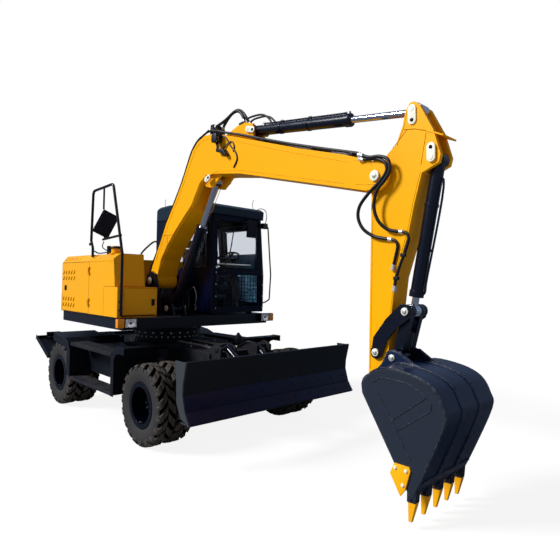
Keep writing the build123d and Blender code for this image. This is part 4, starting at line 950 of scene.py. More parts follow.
def _lattice(t: Tree, entry: bpy.types.Node) -> bpy.types.NodeSocket:
    """Instances in rows and columns."""
    made = entry.outputs["Geometry"]
    for count, offset, start in (("Columns", "Column Step", None), ("Rows", "Row Step", "Start")):
        line = t.add("GeometryNodeMeshLine", mode="OFFSET")
        t.feed(line.inputs["Count"], entry.outputs[count])
        t.feed(line.inputs["Offset"], entry.outputs[offset])
        if start:
            t.feed(line.inputs["Start Location"], entry.outputs[start])
        stamp = t.add("GeometryNodeInstanceOnPoints")
        t.feed(stamp.inputs["Points"], line.outputs[0])
        t.feed(stamp.inputs["Instance"], made)
        made = stamp.outputs[0]
    return made


def repeat(kind: Repeat, shape: Shape, name: str, finish: Finish, **sizes: object) -> bpy.types.Object:
    """Repeat a shape by a geometry node tree and keep the result as a plain mesh.

    Args:
        kind: The way of repeating.
        shape: The shape to repeat, about the origin.
        name: The piece's name.
        finish: Its finish.
        sizes: The tree's inputs by name, with _ for a space.

    Returns:
        The object, with no modifier left on it.
    """
    source = make_object(shape.mesh(name + "_one"), finish)
    tree = geometry_tree(kind)
    modifier = source.modifiers.new(kind.value, "NODES")
    modifier.node_group = tree
    values = {key.replace("_", " "): value for key, value in sizes.items()}
    values["Material"] = finish.material()
    for item in tree.interface.items_tree:
        if item.in_out == "INPUT" and item.name in values:
            modifier[item.identifier] = values[item.name]
    bpy.context.view_layer.update()
    mesh = bpy.data.meshes.new_from_object(source.evaluated_get(bpy.context.evaluated_depsgraph_get()))
    source.modifiers.remove(modifier)
    bpy.data.objects.remove(source)
    mesh.name = name
    return make_object(mesh, finish)


def lattice(shape: Shape, name: str, finish: Finish, start: Vector, columns: int, column_step: Triple,
            rows: int = 1, row_step: Triple = (0, 0, 0)) -> bpy.types.Object:
    """Repeat a shape in rows and columns from a start."""
    return repeat(Repeat.LATTICE, shape, name, finish, Columns=columns, Column_Step=column_step, Rows=rows,
                  Row_Step=row_step, Start=tuple(start))


def in_line(shape: Shape, name: str, finish: Finish, start: Vector, count: int,
            step: Triple) -> bpy.types.Object:
    """Repeat a shape in one row from a start."""
    return lattice(shape, name, finish, start, 1, (0, 0, 0), count, step)


def ring(shape: Shape, name: str, finish: Finish, centre: Vector, axis: Triple, count: int,
         phase: float = 0.0) -> bpy.types.Object:
    """Repeat a shape round an axis through a centre."""
    return repeat(Repeat.RING, shape, name, finish, Count=count, Centre=tuple(centre), Axis=axis, Phase=phase)


def join(pieces: Sequence[bpy.types.Object], name: str) -> bpy.types.Object:
    """Join pieces of one body into one piece, each with its own finish.

    Args:
        pieces: The pieces, not yet riding on a body.
        name: The joined piece's name.

    Returns:
        The joined object.
    """
    bm = bmesh.new()
    finishes: list[bpy.types.Material] = []
    for piece in pieces:
        done, material = len(bm.faces), piece.data.materials[0]
        bm.from_mesh(piece.data)
        if material not in finishes:
            finishes.append(material)
        bm.faces.ensure_lookup_table()
        for face in bm.faces[done:]:
            face.material_index = finishes.index(material)
    first = pieces[0]
    bm.to_mesh(first.data)
    bm.free()
    for material in finishes[1:]:
        first.data.materials.append(material)
    for piece in pieces[1:]:
        bpy.data.objects.remove(piece)
    first.data.polygons.foreach_set("use_smooth", [True] * len(first.data.polygons))
    first.data.set_sharp_from_angle(angle=SMOOTH_BELOW)
    first.name = first.data.name = name
    return first


# ------------------------------------------------------------------ wheels
@dataclass
class Wheel:
    """A twin wheel: two tyres with block tread on their rims, with nuts, hub cap and valve."""

    places: Places
    corner: str
    tyre_half: float = 0.1
    twin_offset: float = 0.1075
    lugs: int = 19
    groove: float = 0.026
    blocks: tuple[Triple, ...] = ((0.004, 0.043, 0.58), (0.0490, 0.0985, 0.60))
    block_section: tuple[Pair, ...] = ((-0.5, 0.0), (-0.48, 0.88), (-0.455, 1.0), (0.455, 1.0), (0.48, 0.88),
                                       (0.5, 0.0))
    block_seat: float = 0.002
    block_end: float = 0.0035
    block_curl: float = 1.35
    shoulder_from: float = 0.09
    shoulder_share: float = 0.86
    lean: float = 0.25
    notches: Pair = (-0.17, 0.17)
    notch_width: float = 0.25
    floor: tuple[Pair, ...] = ((-0.091, 0.401), (0.0, 0.4135), (0.091, 0.401), (0.0, 0.390))
    turn_steps: int = 88
    nuts: int = 10
    nut_ring: float = 0.150
    nut_face: float = 0.008
    studs: int = 8
    stud_ring: float = 0.074
    stud_face: float = 0.078
    valve_foot: Pair = (0.165, -0.186)

    def __post_init__(self) -> None:
        """Note the wheel's centre, its outward side and its body."""
        self.centre = self.places.pins[f"wheel_{self.corner}_spin"]
        self.out = 1.0 if self.centre.y > 0 else -1.0
        self.body = f"wheel_{self.corner}"

    def build(self) -> None:
        """Build and place everything on the wheel."""
        self.tyres()
        self.hub()
        Palette.rim.dress(self.places.nodes[f"rims_{self.corner}"])

    def crown(self, across: float) -> float:
        """The tread's radius at a distance from the tyre's middle."""
        line = [(0.0, 0.4320), (0.045, 0.4312), (0.066, 0.4288), (0.084, 0.4235), (0.094, 0.4120),
                (0.0985, 0.3930), (0.0995, 0.3700)]
        for (x0, r0), (x1, r1) in zip(line, line[1:]):
            if across <= x1:
                return r0 + (r1 - r0) * (across - x0) / (x1 - x0)
        return line[-1][1]

    def carcass(self, shape: Shape, middle: float) -> None:
        """Add a tyre's smooth body round the wheel's axis.

        Args:
            shape: The shape to add to.
            middle: The tyre's middle along the axis.
        """
        half = [(0.070, 0.2035), (0.0745, 0.236), (0.0775, 0.243), (0.0800, 0.2475), (0.0835, 0.2480),
                (0.0885, 0.262), (0.0945, 0.285), (0.0985, 0.312), (0.0990, 0.330), (0.0998, 0.334),
                (0.0990, 0.338), (0.0978, 0.355), (0.0950, 0.378), (0.0900, 0.390), (0.0800, 0.399),
                (0.0600, 0.4035), (0.0300, 0.4050)]
        full = [(middle + y, r) for y, r in half] + [(middle - y, r) for y, r in half[::-1]]
        shape.lathe(full, self.centre, ACROSS, self.turn_steps, loop=True)

    def lug(self, middle: float, side: float, near: float, far: float, pitch: float, lean: float) -> Shape:
        """One tread block, which leans round the tyre and folds over its shoulder.

        Args:
            middle: The tyre's middle along the axis.
            side: Which half of the tread, 1 or -1.
            near: Where the block starts from the tyre's middle.
            far: Where it ends.
            pitch: The block's share of the turn, in radians.
            lean: How far its outer end is turned on, in radians.

        Returns:
            The block about the wheel's axis through the origin.
        """
        shape = Shape()
        section = self.block_section
        steps = 7 if far > self.shoulder_from else 4
        rows = []
        for i in range(steps + 1):
            share = i / steps
            y = near + (far - near) * share
            top = self.crown(y)
            sink = self.groove + self.block_seat
            turn = lean * (1 - (1 - y / self.tyre_half) ** self.block_curl)
            wide = pitch * (1.0 if y < self.shoulder_from else self.shoulder_share)
            end = self.block_end if i in (0, steps) else 0.0
            row = []
            for across, up in section:
                radius = top - sink + (sink - end) * up
                angle = turn + across * wide
                place = (radius * math.sin(angle), middle + side * y, radius * math.cos(angle))
                row.append(shape.bm.verts.new(place))
            rows.append(row)
        return shape.close(rows)

    def shoulder(self, middle: float, side: float, pitch: float, lean: float) -> Shape:
        """One short rib on the sidewall, under the end of a tread block."""
        shape = Shape()
        rows, widest = [], self.tyre_half - 0.0001
        for radius, out in ((0.408, 0.0975), (0.392, 0.1000), (0.374, 0.1003), (0.356, 0.0985)):
            row = []
            for across, deep in ((-0.5, 0.012), (-0.42, 0.0), (0.42, 0.0), (0.5, 0.012)):
                angle = lean + across * pitch
                y = middle + side * min(out - deep, widest)
                row.append(shape.bm.verts.new((radius * math.sin(angle), y, radius * math.cos(angle))))
            rows.append(row)
        return shape.close(rows)

    def tyres(self) -> None:
        """Both tyres of the twin, as one piece in place of the plain ones."""
        body, floors = Shape(), Shape()
        parts = []
        step = math.tau / self.lugs
        for twin in (-1, 1):
            middle = twin * self.twin_offset
            self.carcass(body, middle)
            # The grooves' floors are near black: painted shade in the grooves.
            floors.lathe([(middle + y, r) for y, r in self.floor], self.centre, ACROSS, self.turn_steps,
                         loop=True)
            for side in (-1, 1):
                phase = 0.0 if side > 0 else step / 2
                # The tread blocks take the lighter tread finish: painted light.
                made = [(self.lug(middle, side, near, far, step * wide, self.lean), "lugs", Palette.lug)
                        for near, far, wide in self.blocks]
                made += [(self.shoulder(middle, side, step * self.notch_width, self.lean + step * notch),
                          "ribs", Palette.tyre) for notch in self.notches]
                parts += [ring(shape, name, finish, self.centre, ACROSS, self.lugs, phase)
                          for shape, name, finish in made]
        tyres = join([body.piece("carcass", Palette.tyre), floors.piece("floors", Palette.groove), *parts],
                     f"treaded_tyres_{self.corner}")
        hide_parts(f"tyres_{self.corner}")
        settle(tyres, self.body, Palette.tyre)

    def hub(self) -> None:
        """Nuts on the disc and the hub, the hub's cap and the valve."""
        axis = (0, self.out, 0)
        face, end = (self.centre + Vector((0, self.out * out, 0)) for out in (self.nut_face, self.stud_face))
        nut = Shape().hexagon(Vector((self.nut_ring, 0, 0)), axis, 0.026, 0.018)
        stud = Shape().hexagon(Vector((self.stud_ring, 0, 0)), axis, 0.018, 0.012)
        nuts = ring(nut, "nuts", Palette.nut, face, ACROSS, self.nuts, 0.2)
        studs = ring(stud, "studs", Palette.nut, end, ACROSS, self.studs)
        settle(join([nuts, studs], f"wheel_nuts_{self.corner}"), self.body, Palette.nut)
        cap = Shape().lathe([(0.066, 0), (0.066, 0.050), (0.082, 0.050), (0.088, 0.044), (0.094, 0.030),
                             (0.096, 0)], self.centre, axis, 28)
        cap.settle(f"hub_cap_{self.corner}", self.body, Palette.rim)
        out, up = self.valve_foot
        stem = self.centre + Vector((0.0, self.out * out, up))
        line = [stem + Vector((0, self.out * y, z)) for y, z in ((0, 0), (0.012, 0.012), (0.034, 0.016))]
        valve = Shape().tube(line, 0.004, 8, 3)
        valve.settle(f"valve_{self.corner}", self.body, Palette.zinc)


# ------------------------------------------------------------------ chassis and blade
@dataclass
class Undercarriage:
    """The chassis with its steps, ring bolts, pipes and axle fittings."""

    places: Places
    ring_bolts: int = 36
    bolt_ring: float = 0.441
    plug_ring: Triple = (0.4545, 0, 0.045)
    plugs: int = 24
    step_marks: tuple[int, int] = (30, 4)
    deck: float = 0.930
    cover: float = 0.938

    def build(self) -> None:
        """Dress the chassis and add its fittings."""
        nodes = self.places.nodes
        Palette.black.dress(nodes["fenders"], nodes["side_boxes"], nodes["rear_guard"])
        Palette.deck.dress(nodes["steps"], nodes["chassis_frame"])
        Palette.cast.dress(*(nodes[n] for n in ("slew_ring", "front_axle", "rear_axle", "driveline",
                                                "knuckle_left", "knuckle_right")))
        self.bolts()
        self.tread_plates()
        self.edges()
        self.pipes()
        self.accumulator()
        self.tail()

    def bolts(self) -> None:
        """Bolts under the slewing ring's rim and plugs round its side."""
        centre = self.places.pins["slew"].copy()
        centre.z = self.places.low("slew_ring").z
        bolt = Shape().hexagon(Vector((self.bolt_ring, 0, 0)), (0, 0, -1), 0.024, 0.016)
        settle(ring(bolt, "ring_bolts", Palette.zinc, centre, UP, self.ring_bolts), "chassis", Palette.zinc)
        side = Shape().hexagon(Vector(self.plug_ring), ALONG, 0.018, 0.008)
        settle(ring(side, "ring_plugs", Palette.zinc, centre, UP, self.plugs, 0.08), "chassis", Palette.zinc)

    def tread_plates(self) -> None:
        """Raised anti-slip marks on the steps and the deck's front."""
        low, high = self.places.low("steps"), self.places.high("steps")
        mark = Shape().block((-0.014, -0.0035, 0), (0.014, 0.0035, 0.0025), 0.0012)
        across, rows = self.step_marks
        pitch = (high.x - low.x - 0.06) / (across - 1)
        made = []
        for side in SIDES:
            for top in (high.z, low.z + 0.040):
                start = Vector((low.x + 0.03, side * (0.99 if top < 0.6 else 0.98), top - 0.0004))
                made.append(lattice(mark.copy(), "marks", Palette.deck, start, across, (pitch, 0, 0), rows,
                                    (0, side * 0.045, 0)))
        settle(join(made, "step_tread"), "chassis", Palette.deck)

    def edges(self) -> None:
        """Rolled edges along the fenders and stiffening ribs under them."""
        at = self.places.at
        shape = Shape()
        for side in SIDES:
            y = side * 1.176
            shape.tube([at(0.590, y, 0.957), at(0.690, y, 0.992), at(0.840, y, 0.992)], 0.005, 8,
                       smooth=False)
            shape.tube([at(-0.780, y, 0.897), at(-0.930, y, 0.942), at(-1.320, y, 0.987)], 0.005, 8,
                       smooth=False)
            for x, z in ((0.72, 0.985), (-1.05, 0.948)):
                shape.block(at(x - 0.004, side * 0.62, z - 0.030), at(x + 0.004, side * 1.15, z - 0.006),
                            0.001)
        shape.settle("fender_edges", "chassis", Palette.black)

    def pipes(self) -> None:
        """Pipes along the deck to the blade's cylinders, and brake lines at both axles."""
        at = self.places.at
        steel, rubber = Shape(), Shape()
        for side in SIDES:
            for gap in (0.0, 0.035):
                y = side * (0.10 + gap)
                steel.tube([at(0.24, y, 0.945), at(0.70, y, 0.943), at(1.00, y + side * 0.03, 0.943),
                            at(1.16, y + side * 0.05, 0.945)], 0.008, 8)
                rubber.tube([at(1.16, y + side * 0.05, 0.945), at(1.24, y + side * 0.06, 0.99),
                             at(1.36, y + side * 0.045, 1.03), at(1.46, side * (0.19 + gap * 0.5), 1.010)],
                            0.011, 10)
            rubber.tube([at(-1.12, side * 0.42, 0.60), at(-1.10, side * 0.55, 0.57),
                         at(-1.14, side * 0.70, 0.50)], 0.008, 8)
            rubber.tube([at(1.12, side * 0.40, 0.60), at(1.10, side * 0.50, 0.585),
                         at(1.13, side * 0.60, 0.56)], 0.008, 8)
        steel.settle("deck_pipes", "chassis", Palette.zinc)
        rubber.settle("chassis_hoses", "chassis", Palette.hose)

    def accumulator(self) -> None:
        """The brake accumulator and its valve on the deck's left, and covers bolted to the deck."""
        at = self.places.at
        bottle = Shape().lathe([(0, 0), (0, 0.045), (0.02, 0.056), (0.10, 0.056), (0.13, 0.040),
                                (0.15, 0.018), (0.165, 0.018), (0.165, 0)], at(0.98, 0.30, self.deck), UP, 28)
        bottle.block(at(0.90, 0.20, self.deck), at(0.96, 0.27, 0.975), 0.004)
        bottle.tube([at(0.93, 0.235, 0.975), at(0.94, 0.25, 1.04), at(0.97, 0.30, 1.06),
                     at(0.98, 0.30, 1.09)], 0.007, 8)
        bottle.settle("brake_accumulator", "chassis", Palette.cast)
        cover = Shape()
        cover.block(at(0.40, -0.30, self.deck), at(0.80, -0.02, self.cover), 0.003)
        cover.block(at(0.40, 0.16, self.deck), at(0.80, 0.36, self.cover), 0.003)
        cover.settle("deck_covers", "chassis", Palette.deck)
        bolt = Shape().hexagon(ORIGIN, UP, 0.016, 0.009)
        patterns = ((0.425, -0.275, 0.35, 0.23), (0.425, 0.185, 0.35, 0.15))
        made = [lattice(bolt.copy(), "bolts", Palette.zinc, at(x, y, self.cover), 2, (dx, 0, 0), 2,
                        (0, dy, 0)) for x, y, dx, dy in patterns]
        settle(join(made, "deck_bolts"), "chassis", Palette.zinc)

    def tail(self) -> None:
        """Tail lamps on the rear guard."""
        at = self.places.at
        box, lens = Shape(), Shape()
        for side in SIDES:
            box.block(at(-2.150, side * 1.00, 0.826), at(-2.060, side * 0.80, 0.834), 0.003)
            box.block(at(-2.176, side * 1.00, 0.834), at(-2.140, side * 0.80, 0.905), 0.005)
            lens.block(at(-2.184, side * 0.99, 0.840), at(-2.175, side * 0.81, 0.900), 0.003)
        box.settle("tail_lamp_boxes", "chassis", Palette.plastic)
        lens.settle("tail_lamp_lenses", "chassis", Palette.red)


@dataclass
class Blade:
    """The dozer blade with its cutting edges, top bar and pin caps."""

    places: Places

    def build(self) -> None:
        """Dress the blade and add its strips."""
        nodes = self.places.nodes
        Palette.blade.dress(nodes["blade"])
        Palette.black.dress(nodes["blade_arms"], nodes["blade_links"])
        Palette.cylinder.dress(nodes["blade_cylinder_barrels"])
        Palette.chrome.dress(nodes["blade_cylinder_rods"])
        self.strips()
        self.bar()
        self.grease()

    def strips(self) -> None:
        """The two cutting edges on the lower front and their bolts."""
        flat = self.places.flat
        shape = Shape()
        half = self.places.high("blade").y - 0.019
        for points in ([(2.0315, 0.694), (2.0745, 0.5525), (2.0815, 0.5545), (2.0385, 0.696)],
                       [(2.0775, 0.5455), (2.149, 0.4400), (2.1498, 0.4480), (2.0845, 0.5485)]):
            shape.slab(flat(points), -half, half, 0.0015)
        shape.settle("cutting_edges", "blade", Palette.edge)
        heads = []
        for x, z, dx, dz in ((2.060, 0.624, 0.957, 0.291), (2.117, 0.497, 0.838, 0.546)):
            start = self.places.at(x, -half + 0.08, z)
            head = Shape().lathe([(0, 0), (0, 0.014), (0.003, 0.012), (0.003, 0)], ORIGIN, (dx, 0, dz), 12)
            heads.append(in_line(head, "heads", Palette.edge, start + Vector((dx, 0, dz)) * 0.0015, 11,
                                 (0, (half - 0.08) / 5, 0)))
        settle(join(heads, "cutting_edge_bolts"), "blade", Palette.edge)

    def bar(self) -> None:
        """The round bar along the blade's top edge and the seams where plates meet."""
        at = self.places.at
        half = self.places.high("blade").y
        shape = Shape().tube([at(2.064, -half + 0.004, 0.986), at(2.064, half - 0.004, 0.986)], 0.012, 12,
                             smooth=False)
        for side in SIDES:
            shape.block(at(2.006, side * (half - 0.001), 0.4387), at(2.149, side * (half - 0.030), 0.4460),
                        0.001)
            shape.block(at(1.985, side * 0.62, 0.62), at(2.025, side * 0.60, 0.95), 0.002)
        shape.settle("blade_bars", "blade", Palette.blade)

    def grease(self) -> None:
        """Caps on the pins that carry the blade and its cylinders."""
        for joint, outer, body in (("blade_level", 0.374, "blade"), ("blade_lift", 0.380, "chassis"),
                                   ("blade_cylinder_swing", 0.380, "chassis")):
            pin = self.places.pins[joint]
            shape = Shape()
            for side in SIDES:
                shape.lathe([(-0.001, 0), (-0.001, 0.036), (0.009, 0.034), (0.012, 0.020), (0.012, 0)],
                            Vector((pin.x, side * outer, pin.z)), (0, side, 0), 24)
            shape.settle(f"{joint}_caps", body, Palette.cast)


# ------------------------------------------------------------------ upper body
@dataclass
class UpperBody:
    """The platform, hood, doors, tank, lamps and everything bolted to them."""

    places: Places
    slit_rows: tuple[float, ...] = (1.39, 1.47, 1.75, 1.83)
    slits: int = 5
    slit_pitch: float = 0.092
    slit_lean: float = 0.018
    flank: float = 1.130
    platform: float = 1.302
    tail_centre: float = -0.240
    tail_radius: float = 1.540
    feeds: int = 4

    def build(self) -> None:
        """Dress the upper body and add its fittings."""
        nodes = self.places.nodes
        Palette.panel.dress(*(nodes[n] for n in ("hood", "engine_cowl", "service_door_right",
                                                 "service_door_left", "tank_housing", "tool_box",
                                                 "tool_box_door")))
        Palette.skirt.dress(nodes["upper_frame"], nodes["counterweight"], nodes["handrail"], nodes["exhaust"])
        Palette.cast.dress(nodes["engine_block"])
        self.louvres()
        self.latches()
        self.bands()
        self.filler()
        self.lamps()
        self.mirror()
        self.treads()
        self.rear()
        self.valves()
        self.chimney()

    def slit(self) -> Shape:
        """One slanted pressed louvre's opening about the origin, facing out along -Y: a thin dark plate of
        painted shade.
        """
        shape = Shape()
        lean, high, wide = self.slit_lean, 0.024, 0.016
        outline = [Vector((-wide / 2 - lean, 0, -high)), Vector((wide / 2 - lean, 0, -high)),
                   Vector((wide / 2 + lean, 0, high)), Vector((-wide / 2 + lean, 0, high))]
        return shape.plate(outline, Vector((0, -0.0015, 0)), 0.0004)

    def lip(self) -> Shape:
        """The raised lip in front of a louvre's slit."""
        lean, high = self.slit_lean, 0.026
        return Shape().tube([Vector((0.012 - lean, -0.001, -high)), Vector((0.012, -0.005, 0)),
                             Vector((0.012 + lean, -0.001, high))], 0.0045, 6, 3)

    def louvres(self) -> None:
        """Rows of slanted louvres on both flank doors, each opening a dark plate of painted shade."""
        for side, node, first in ((-1, "service_door_right", -1.13), (1, "service_door_left", -1.15)):
            face = side * self.flank
            columns = self.slits if side < 0 else 2
            for part, maker, finish in (("slits", self.slit, Palette.shade_yellow),
                                        ("lips", self.lip, Palette.panel)):
                made = []
                for row in self.slit_rows:
                    made.append(lattice(maker(), part, finish, self.places.at(first, face, row), columns,
                                        (self.slit_pitch, 0, 0)))
                piece = join(made, f"{part}_{node}")
                if side > 0:
                    for vert in piece.data.vertices:
                        vert.co.y = 2 * face - vert.co.y
                    piece.data.flip_normals()
                settle(piece, node, finish)
        self.shoulder_louvres()

    def shoulder_louvres(self) -> None:
        """The row of slits on the sloping shoulder above the right door, dark plates of painted shade."""
        out = Vector((0, -0.817, 0.577))
        down = Vector((0, -0.577, -0.817))
        middle = self.places.at(-1.13, 0.0325 - self.flank, 1.963 + 0.046)
        shape = Shape()
        for i in range(self.slits):
            base = middle + Vector((i * self.slit_pitch, 0, 0))
            places = ((-0.022, 0.022), (-0.006, 0.022), (0.026, -0.022), (0.010, -0.022))
            corners = [base + Vector((x, 0, 0)) + down * d for x, d in places]
            shape.plate(corners, out * 0.0016)
        shape.settle("shoulder_slits", "upper_body", Palette.shade_yellow)

    def latches(self) -> None:
        """Paddle latches on the doors, the lid and the tool box."""
        at = self.places.at
        for body, x, side, z in (("service_door_right", -1.05, -1, 1.62),
                                 ("service_door_left", -1.13, 1, 1.62)):
            y = side * self.flank
            shape = Shape()
            shape.block(at(x - 0.034, y, z - 0.034), at(x + 0.034, y + side * 0.006, z + 0.034), 0.002)
            shape.block(at(x - 0.022, y + side * 0.004, z - 0.020),
                        at(x + 0.022, y + side * 0.011, z + 0.022), 0.003)
            shape.lathe([(0.010, 0), (0.010, 0.007), (0.013, 0.006), (0.013, 0)], at(x, y, z - 0.026),
                        (0, side, 0), 14)
            shape.settle(f"latch_{body}", body, Palette.plastic)
        lid = Shape()
        lid.block(at(-1.7815, -0.045, 1.60), at(-1.774, 0.045, 1.67), 0.003)
        lid.settle("lid_latch", "hood", Palette.plastic)
        box = Shape()
        box.block(at(0.545, -0.70, 1.44), at(0.553, -0.66, 1.52), 0.003)
        box.settle("tool_box_latch", "tool_box_door", Palette.plastic)

    def bands(self) -> None:
        """Darker lines of painted shade along the panels' gaps and the shoulder's crease, the right door's
        jambs, the lid's seal and the sill's strip.
        """
        at = self.places.at
        shape = Shape()
        x = -0.63
        shape.plate([at(x - 0.003, -1.1305, 1.963), at(x + 0.003, -1.1305, 1.963),
                     at(x + 0.003, -1.0655, 2.055), at(x - 0.003, -1.0655, 2.055)],
                    Vector((0, -0.0010, 0.0007)))
        shape.block(at(-1.175, -1.1310, 1.9605), at(-0.275, -1.1290, 1.9655), 0)
        shape.block(at(-0.262, -1.1310, 1.9605), at(0.42, -1.1290, 1.9645), 0)
        shape.block(at(0.180, -1.1306, 1.6575), at(0.510, -1.1290, 1.6625), 0)
        shape.settle("panel_joints", "upper_body", Palette.joint)
        jamb = Shape()
        jamb.block(at(-0.290, -1.112, 1.315), at(-0.250, -1.106, 1.955), 0)
        jamb.block(at(-1.170, -1.112, 1.948), at(-0.280, -1.106, 1.980), 0)
        jamb.settle("door_jambs", "upper_body", Palette.yellow)
        rubber = Shape()
        rubber.block(at(-1.183, -1.126, 1.545), at(-1.179, -1.118, 1.955), 0.001)
        rubber.block(at(-1.183, 1.118, 1.545), at(-1.179, 1.126, 1.955), 0.001)
        rubber.block(at(-1.183, -1.06, 2.0425), at(-1.179, 1.06, 2.0485), 0.001)
        rubber.settle("lid_seal", "upper_body", Palette.seal)
        scuff = Shape()
        scuff.block(at(-1.20, -1.1315, 1.300), at(0.545, -1.126, 1.3065), 0.001)
        scuff.settle("sill_strip", "upper_body", Palette.seal)

    def filler(self) -> None:
        """The fuel filler's ribbed black cap with its tether, and its neck's flange."""
        centre = self.places.at(0.200, -1.000, 2.120)
        shape = Shape().lathe([(-0.002, 0), (-0.002, 0.0655), (0.016, 0.0655), (0.024, 0.060), (0.026, 0.030),
                               (0.026, 0)], centre, UP, 36)
        rib = Shape().block((0.0640, -0.0030, 0.000), (0.0675, 0.0030, 0.014), 0.001)
        ribs = ring(rib, "ribs", Palette.plastic, centre, UP, 24)
        settle(join([shape.piece("cap", Palette.plastic), ribs], "fuel_cap"), "upper_body", Palette.plastic)
        flange = Shape().lathe([(0, 0), (0, 0.075), (0.008, 0.074), (0.010, 0.056), (0.010, 0)],
                               self.places.at(0.200, -1.000, 2.055), UP, 36)
        flange.settle("filler_flange", "upper_body", Palette.yellow)
        tether = Shape().tube([centre + Vector((-0.06, -0.02, -0.004)),
                               centre + Vector((-0.10, -0.03, -0.05)),
                               centre + Vector((-0.085, -0.01, -0.062))], 0.003, 6, 5)
        tether.settle("cap_tether", "upper_body", Palette.hose)

    def lamps(self) -> None:
        """Head lamps with bowl, bulb and lens, and amber markers beside them."""
        at = self.places.at
        Palette.plastic.dress(self.places.nodes["lamps"])
        bezel, bowl, lens, amber, bulb = Shape(), Shape(), Shape(), Shape(), Shape()
        front = self.places.high("lamps").x - self.places.mid
        for side in SIDES:
            y0, y1 = side * 0.956, side * 1.092
            middle = at(front, (y0 + y1) / 2, 1.250)
            bowl.block(at(front, y0, 1.202), at(front + 0.002, y1, 1.298), 0.0008)
            bowl.lathe([(0.0015, 0.050), (0.012, 0.050), (0.012, 0.046), (0.003, 0.030), (0.002, 0.0)],
                       middle, ALONG, 28)
            for z in (1.198, 1.298):
                bezel.block(at(front - 0.004, y0, z), at(front + 0.012, y1, z + 0.006), 0.001)
            for y in (0.951, 1.090):
                bezel.block(at(front - 0.004, side * y, 1.198), at(front + 0.012, side * (y + 0.006), 1.304),
                            0.001)
            lens.block(at(front + 0.013, y0, 1.204), at(front + 0.017, y1, 1.298), 0.0015)
            bulb.lathe([(0, 0), (0, 0.016), (0.009, 0.014), (0.011, 0)], middle, ALONG, 16)
            amber.block(at(front - 0.047, side * 1.183, 1.199), at(front + 0.010, side * 1.101, 1.301), 0.006)
        bowl.settle("lamp_bowls", "upper_body", Palette.bowl)
        bezel.settle("lamp_bezels", "upper_body", Palette.plastic)
        lens.settle("lamp_lenses", "upper_body", Palette.lens)
        bulb.settle("lamp_bulbs", "upper_body", Palette.seal)
        amber.settle("marker_lenses", "upper_body", Palette.amber)

    def mirror(self) -> None:
        """The mirror's cables, glass and back, and the handrail's clips."""
        at = self.places.at
        Palette.plastic.dress(self.places.nodes["mirrors"])
        wire = Shape()
        wire.tube([at(-0.232, -1.088, 2.10), at(-0.20, -1.05, 2.075), at(-0.05, -0.99, 2.085),
                   at(0.11, -0.96, 2.085)], 0.008, 8)
        wire.tube([at(0.075, -1.100, 2.205), at(0.03, -1.095, 2.14), at(0.09, -1.04, 2.085),
                   at(0.135, -1.01, 2.075)], 0.006, 8)
        wire.settle("mirror_cable", "upper_body", Palette.hose)
        facing, roll = Vector((0.966, -0.259, 0)), math.radians(-25)
        flat, down = Vector((-0.259, -0.966, 0)), Vector((0, 0, -1))
        across = flat * math.cos(roll) + down * math.sin(roll)
        along = down * math.cos(roll) - flat * math.sin(roll)
        middle = at(0.067, -1.079, 2.4215)
        pane, shell = Shape(), Shape()
        for shape, back, half, tall, deep in ((pane, -0.0195, 0.088, 0.138, -0.002),
                                              (shell, 0.0195, 0.080, 0.128, 0.006)):
            start = middle + facing * back
            corners = [start + across * half * i + along * tall * j for i, j in CORNERS]
            shape.plate(corners, facing * deep, 0.0008)
        pane.settle("mirror_pane", "upper_body", Palette.mirror)
        shell.settle("mirror_back", "upper_body", Palette.plastic)
        clip = Shape().lathe([(-0.016, 0), (-0.016, 0.0175), (0.016, 0.0175), (0.016, 0)],
                             at(0.52, -1.105, 2.255), (1, 0, 0.05), 16)
        clip.block(at(-0.31, -1.127, 2.17), at(-0.255, -1.095, 2.205), 0.006)
        clip.settle("rail_clips", "upper_body", Palette.plastic)

    def treads(self) -> None:
        """Anti-slip studs and their strip on the platform's edge under the tool box."""
        at = self.places.at
        stud = Shape().lathe([(0, 0), (0, 0.008), (0.003, 0.006), (0.003, 0)], ORIGIN, UP, 8)
        made = lattice(stud, "platform_studs", Palette.zinc, at(0.575, -0.93, 1.2995), 2, (0.024, 0, 0), 26,
                       (0, 0.024, 0))
        settle(made, "upper_body", Palette.zinc)
        plate = Shape().block(at(0.553, -0.945, 1.2995), at(0.618, -0.29, 1.3015), 0.001)
        plate.settle("platform_strip", "upper_body", Palette.deck)

    def rear(self) -> None:
        """Slats in the lid's rear and vents along its top, in the darker yellow of painted shade."""
        slat = Shape().block((-0.006, -0.20, -0.012), (0.0, 0.20, 0.0), 0.002,
                             Matrix.Rotation(math.radians(18), 3, "Y"))
        at = self.places.at
        slats = []
        for y in (-0.44, 0.0, 0.44):
            reach = self.tail_radius * math.cos(math.asin(min(abs(y) + 0.2, 1.0) / self.tail_radius))
            slats.append(in_line(slat.copy(), "slats", Palette.shade_yellow,
                                 at(self.tail_centre - reach - 0.004, y, 1.68), 8, (0, 0, 0.03)))
        settle(join(slats, "lid_slats"), "hood", Palette.shade_yellow)
        vent = Shape().block((-0.17, -0.006, 0), (0.17, 0.006, 0.006), 0.002)
        roof = in_line(vent, "roof_vents", Palette.shade_yellow, at(-1.50, -0.35, 2.0545), 18, (0, 0.041, 0))
        settle(roof, "hood", Palette.shade_yellow)

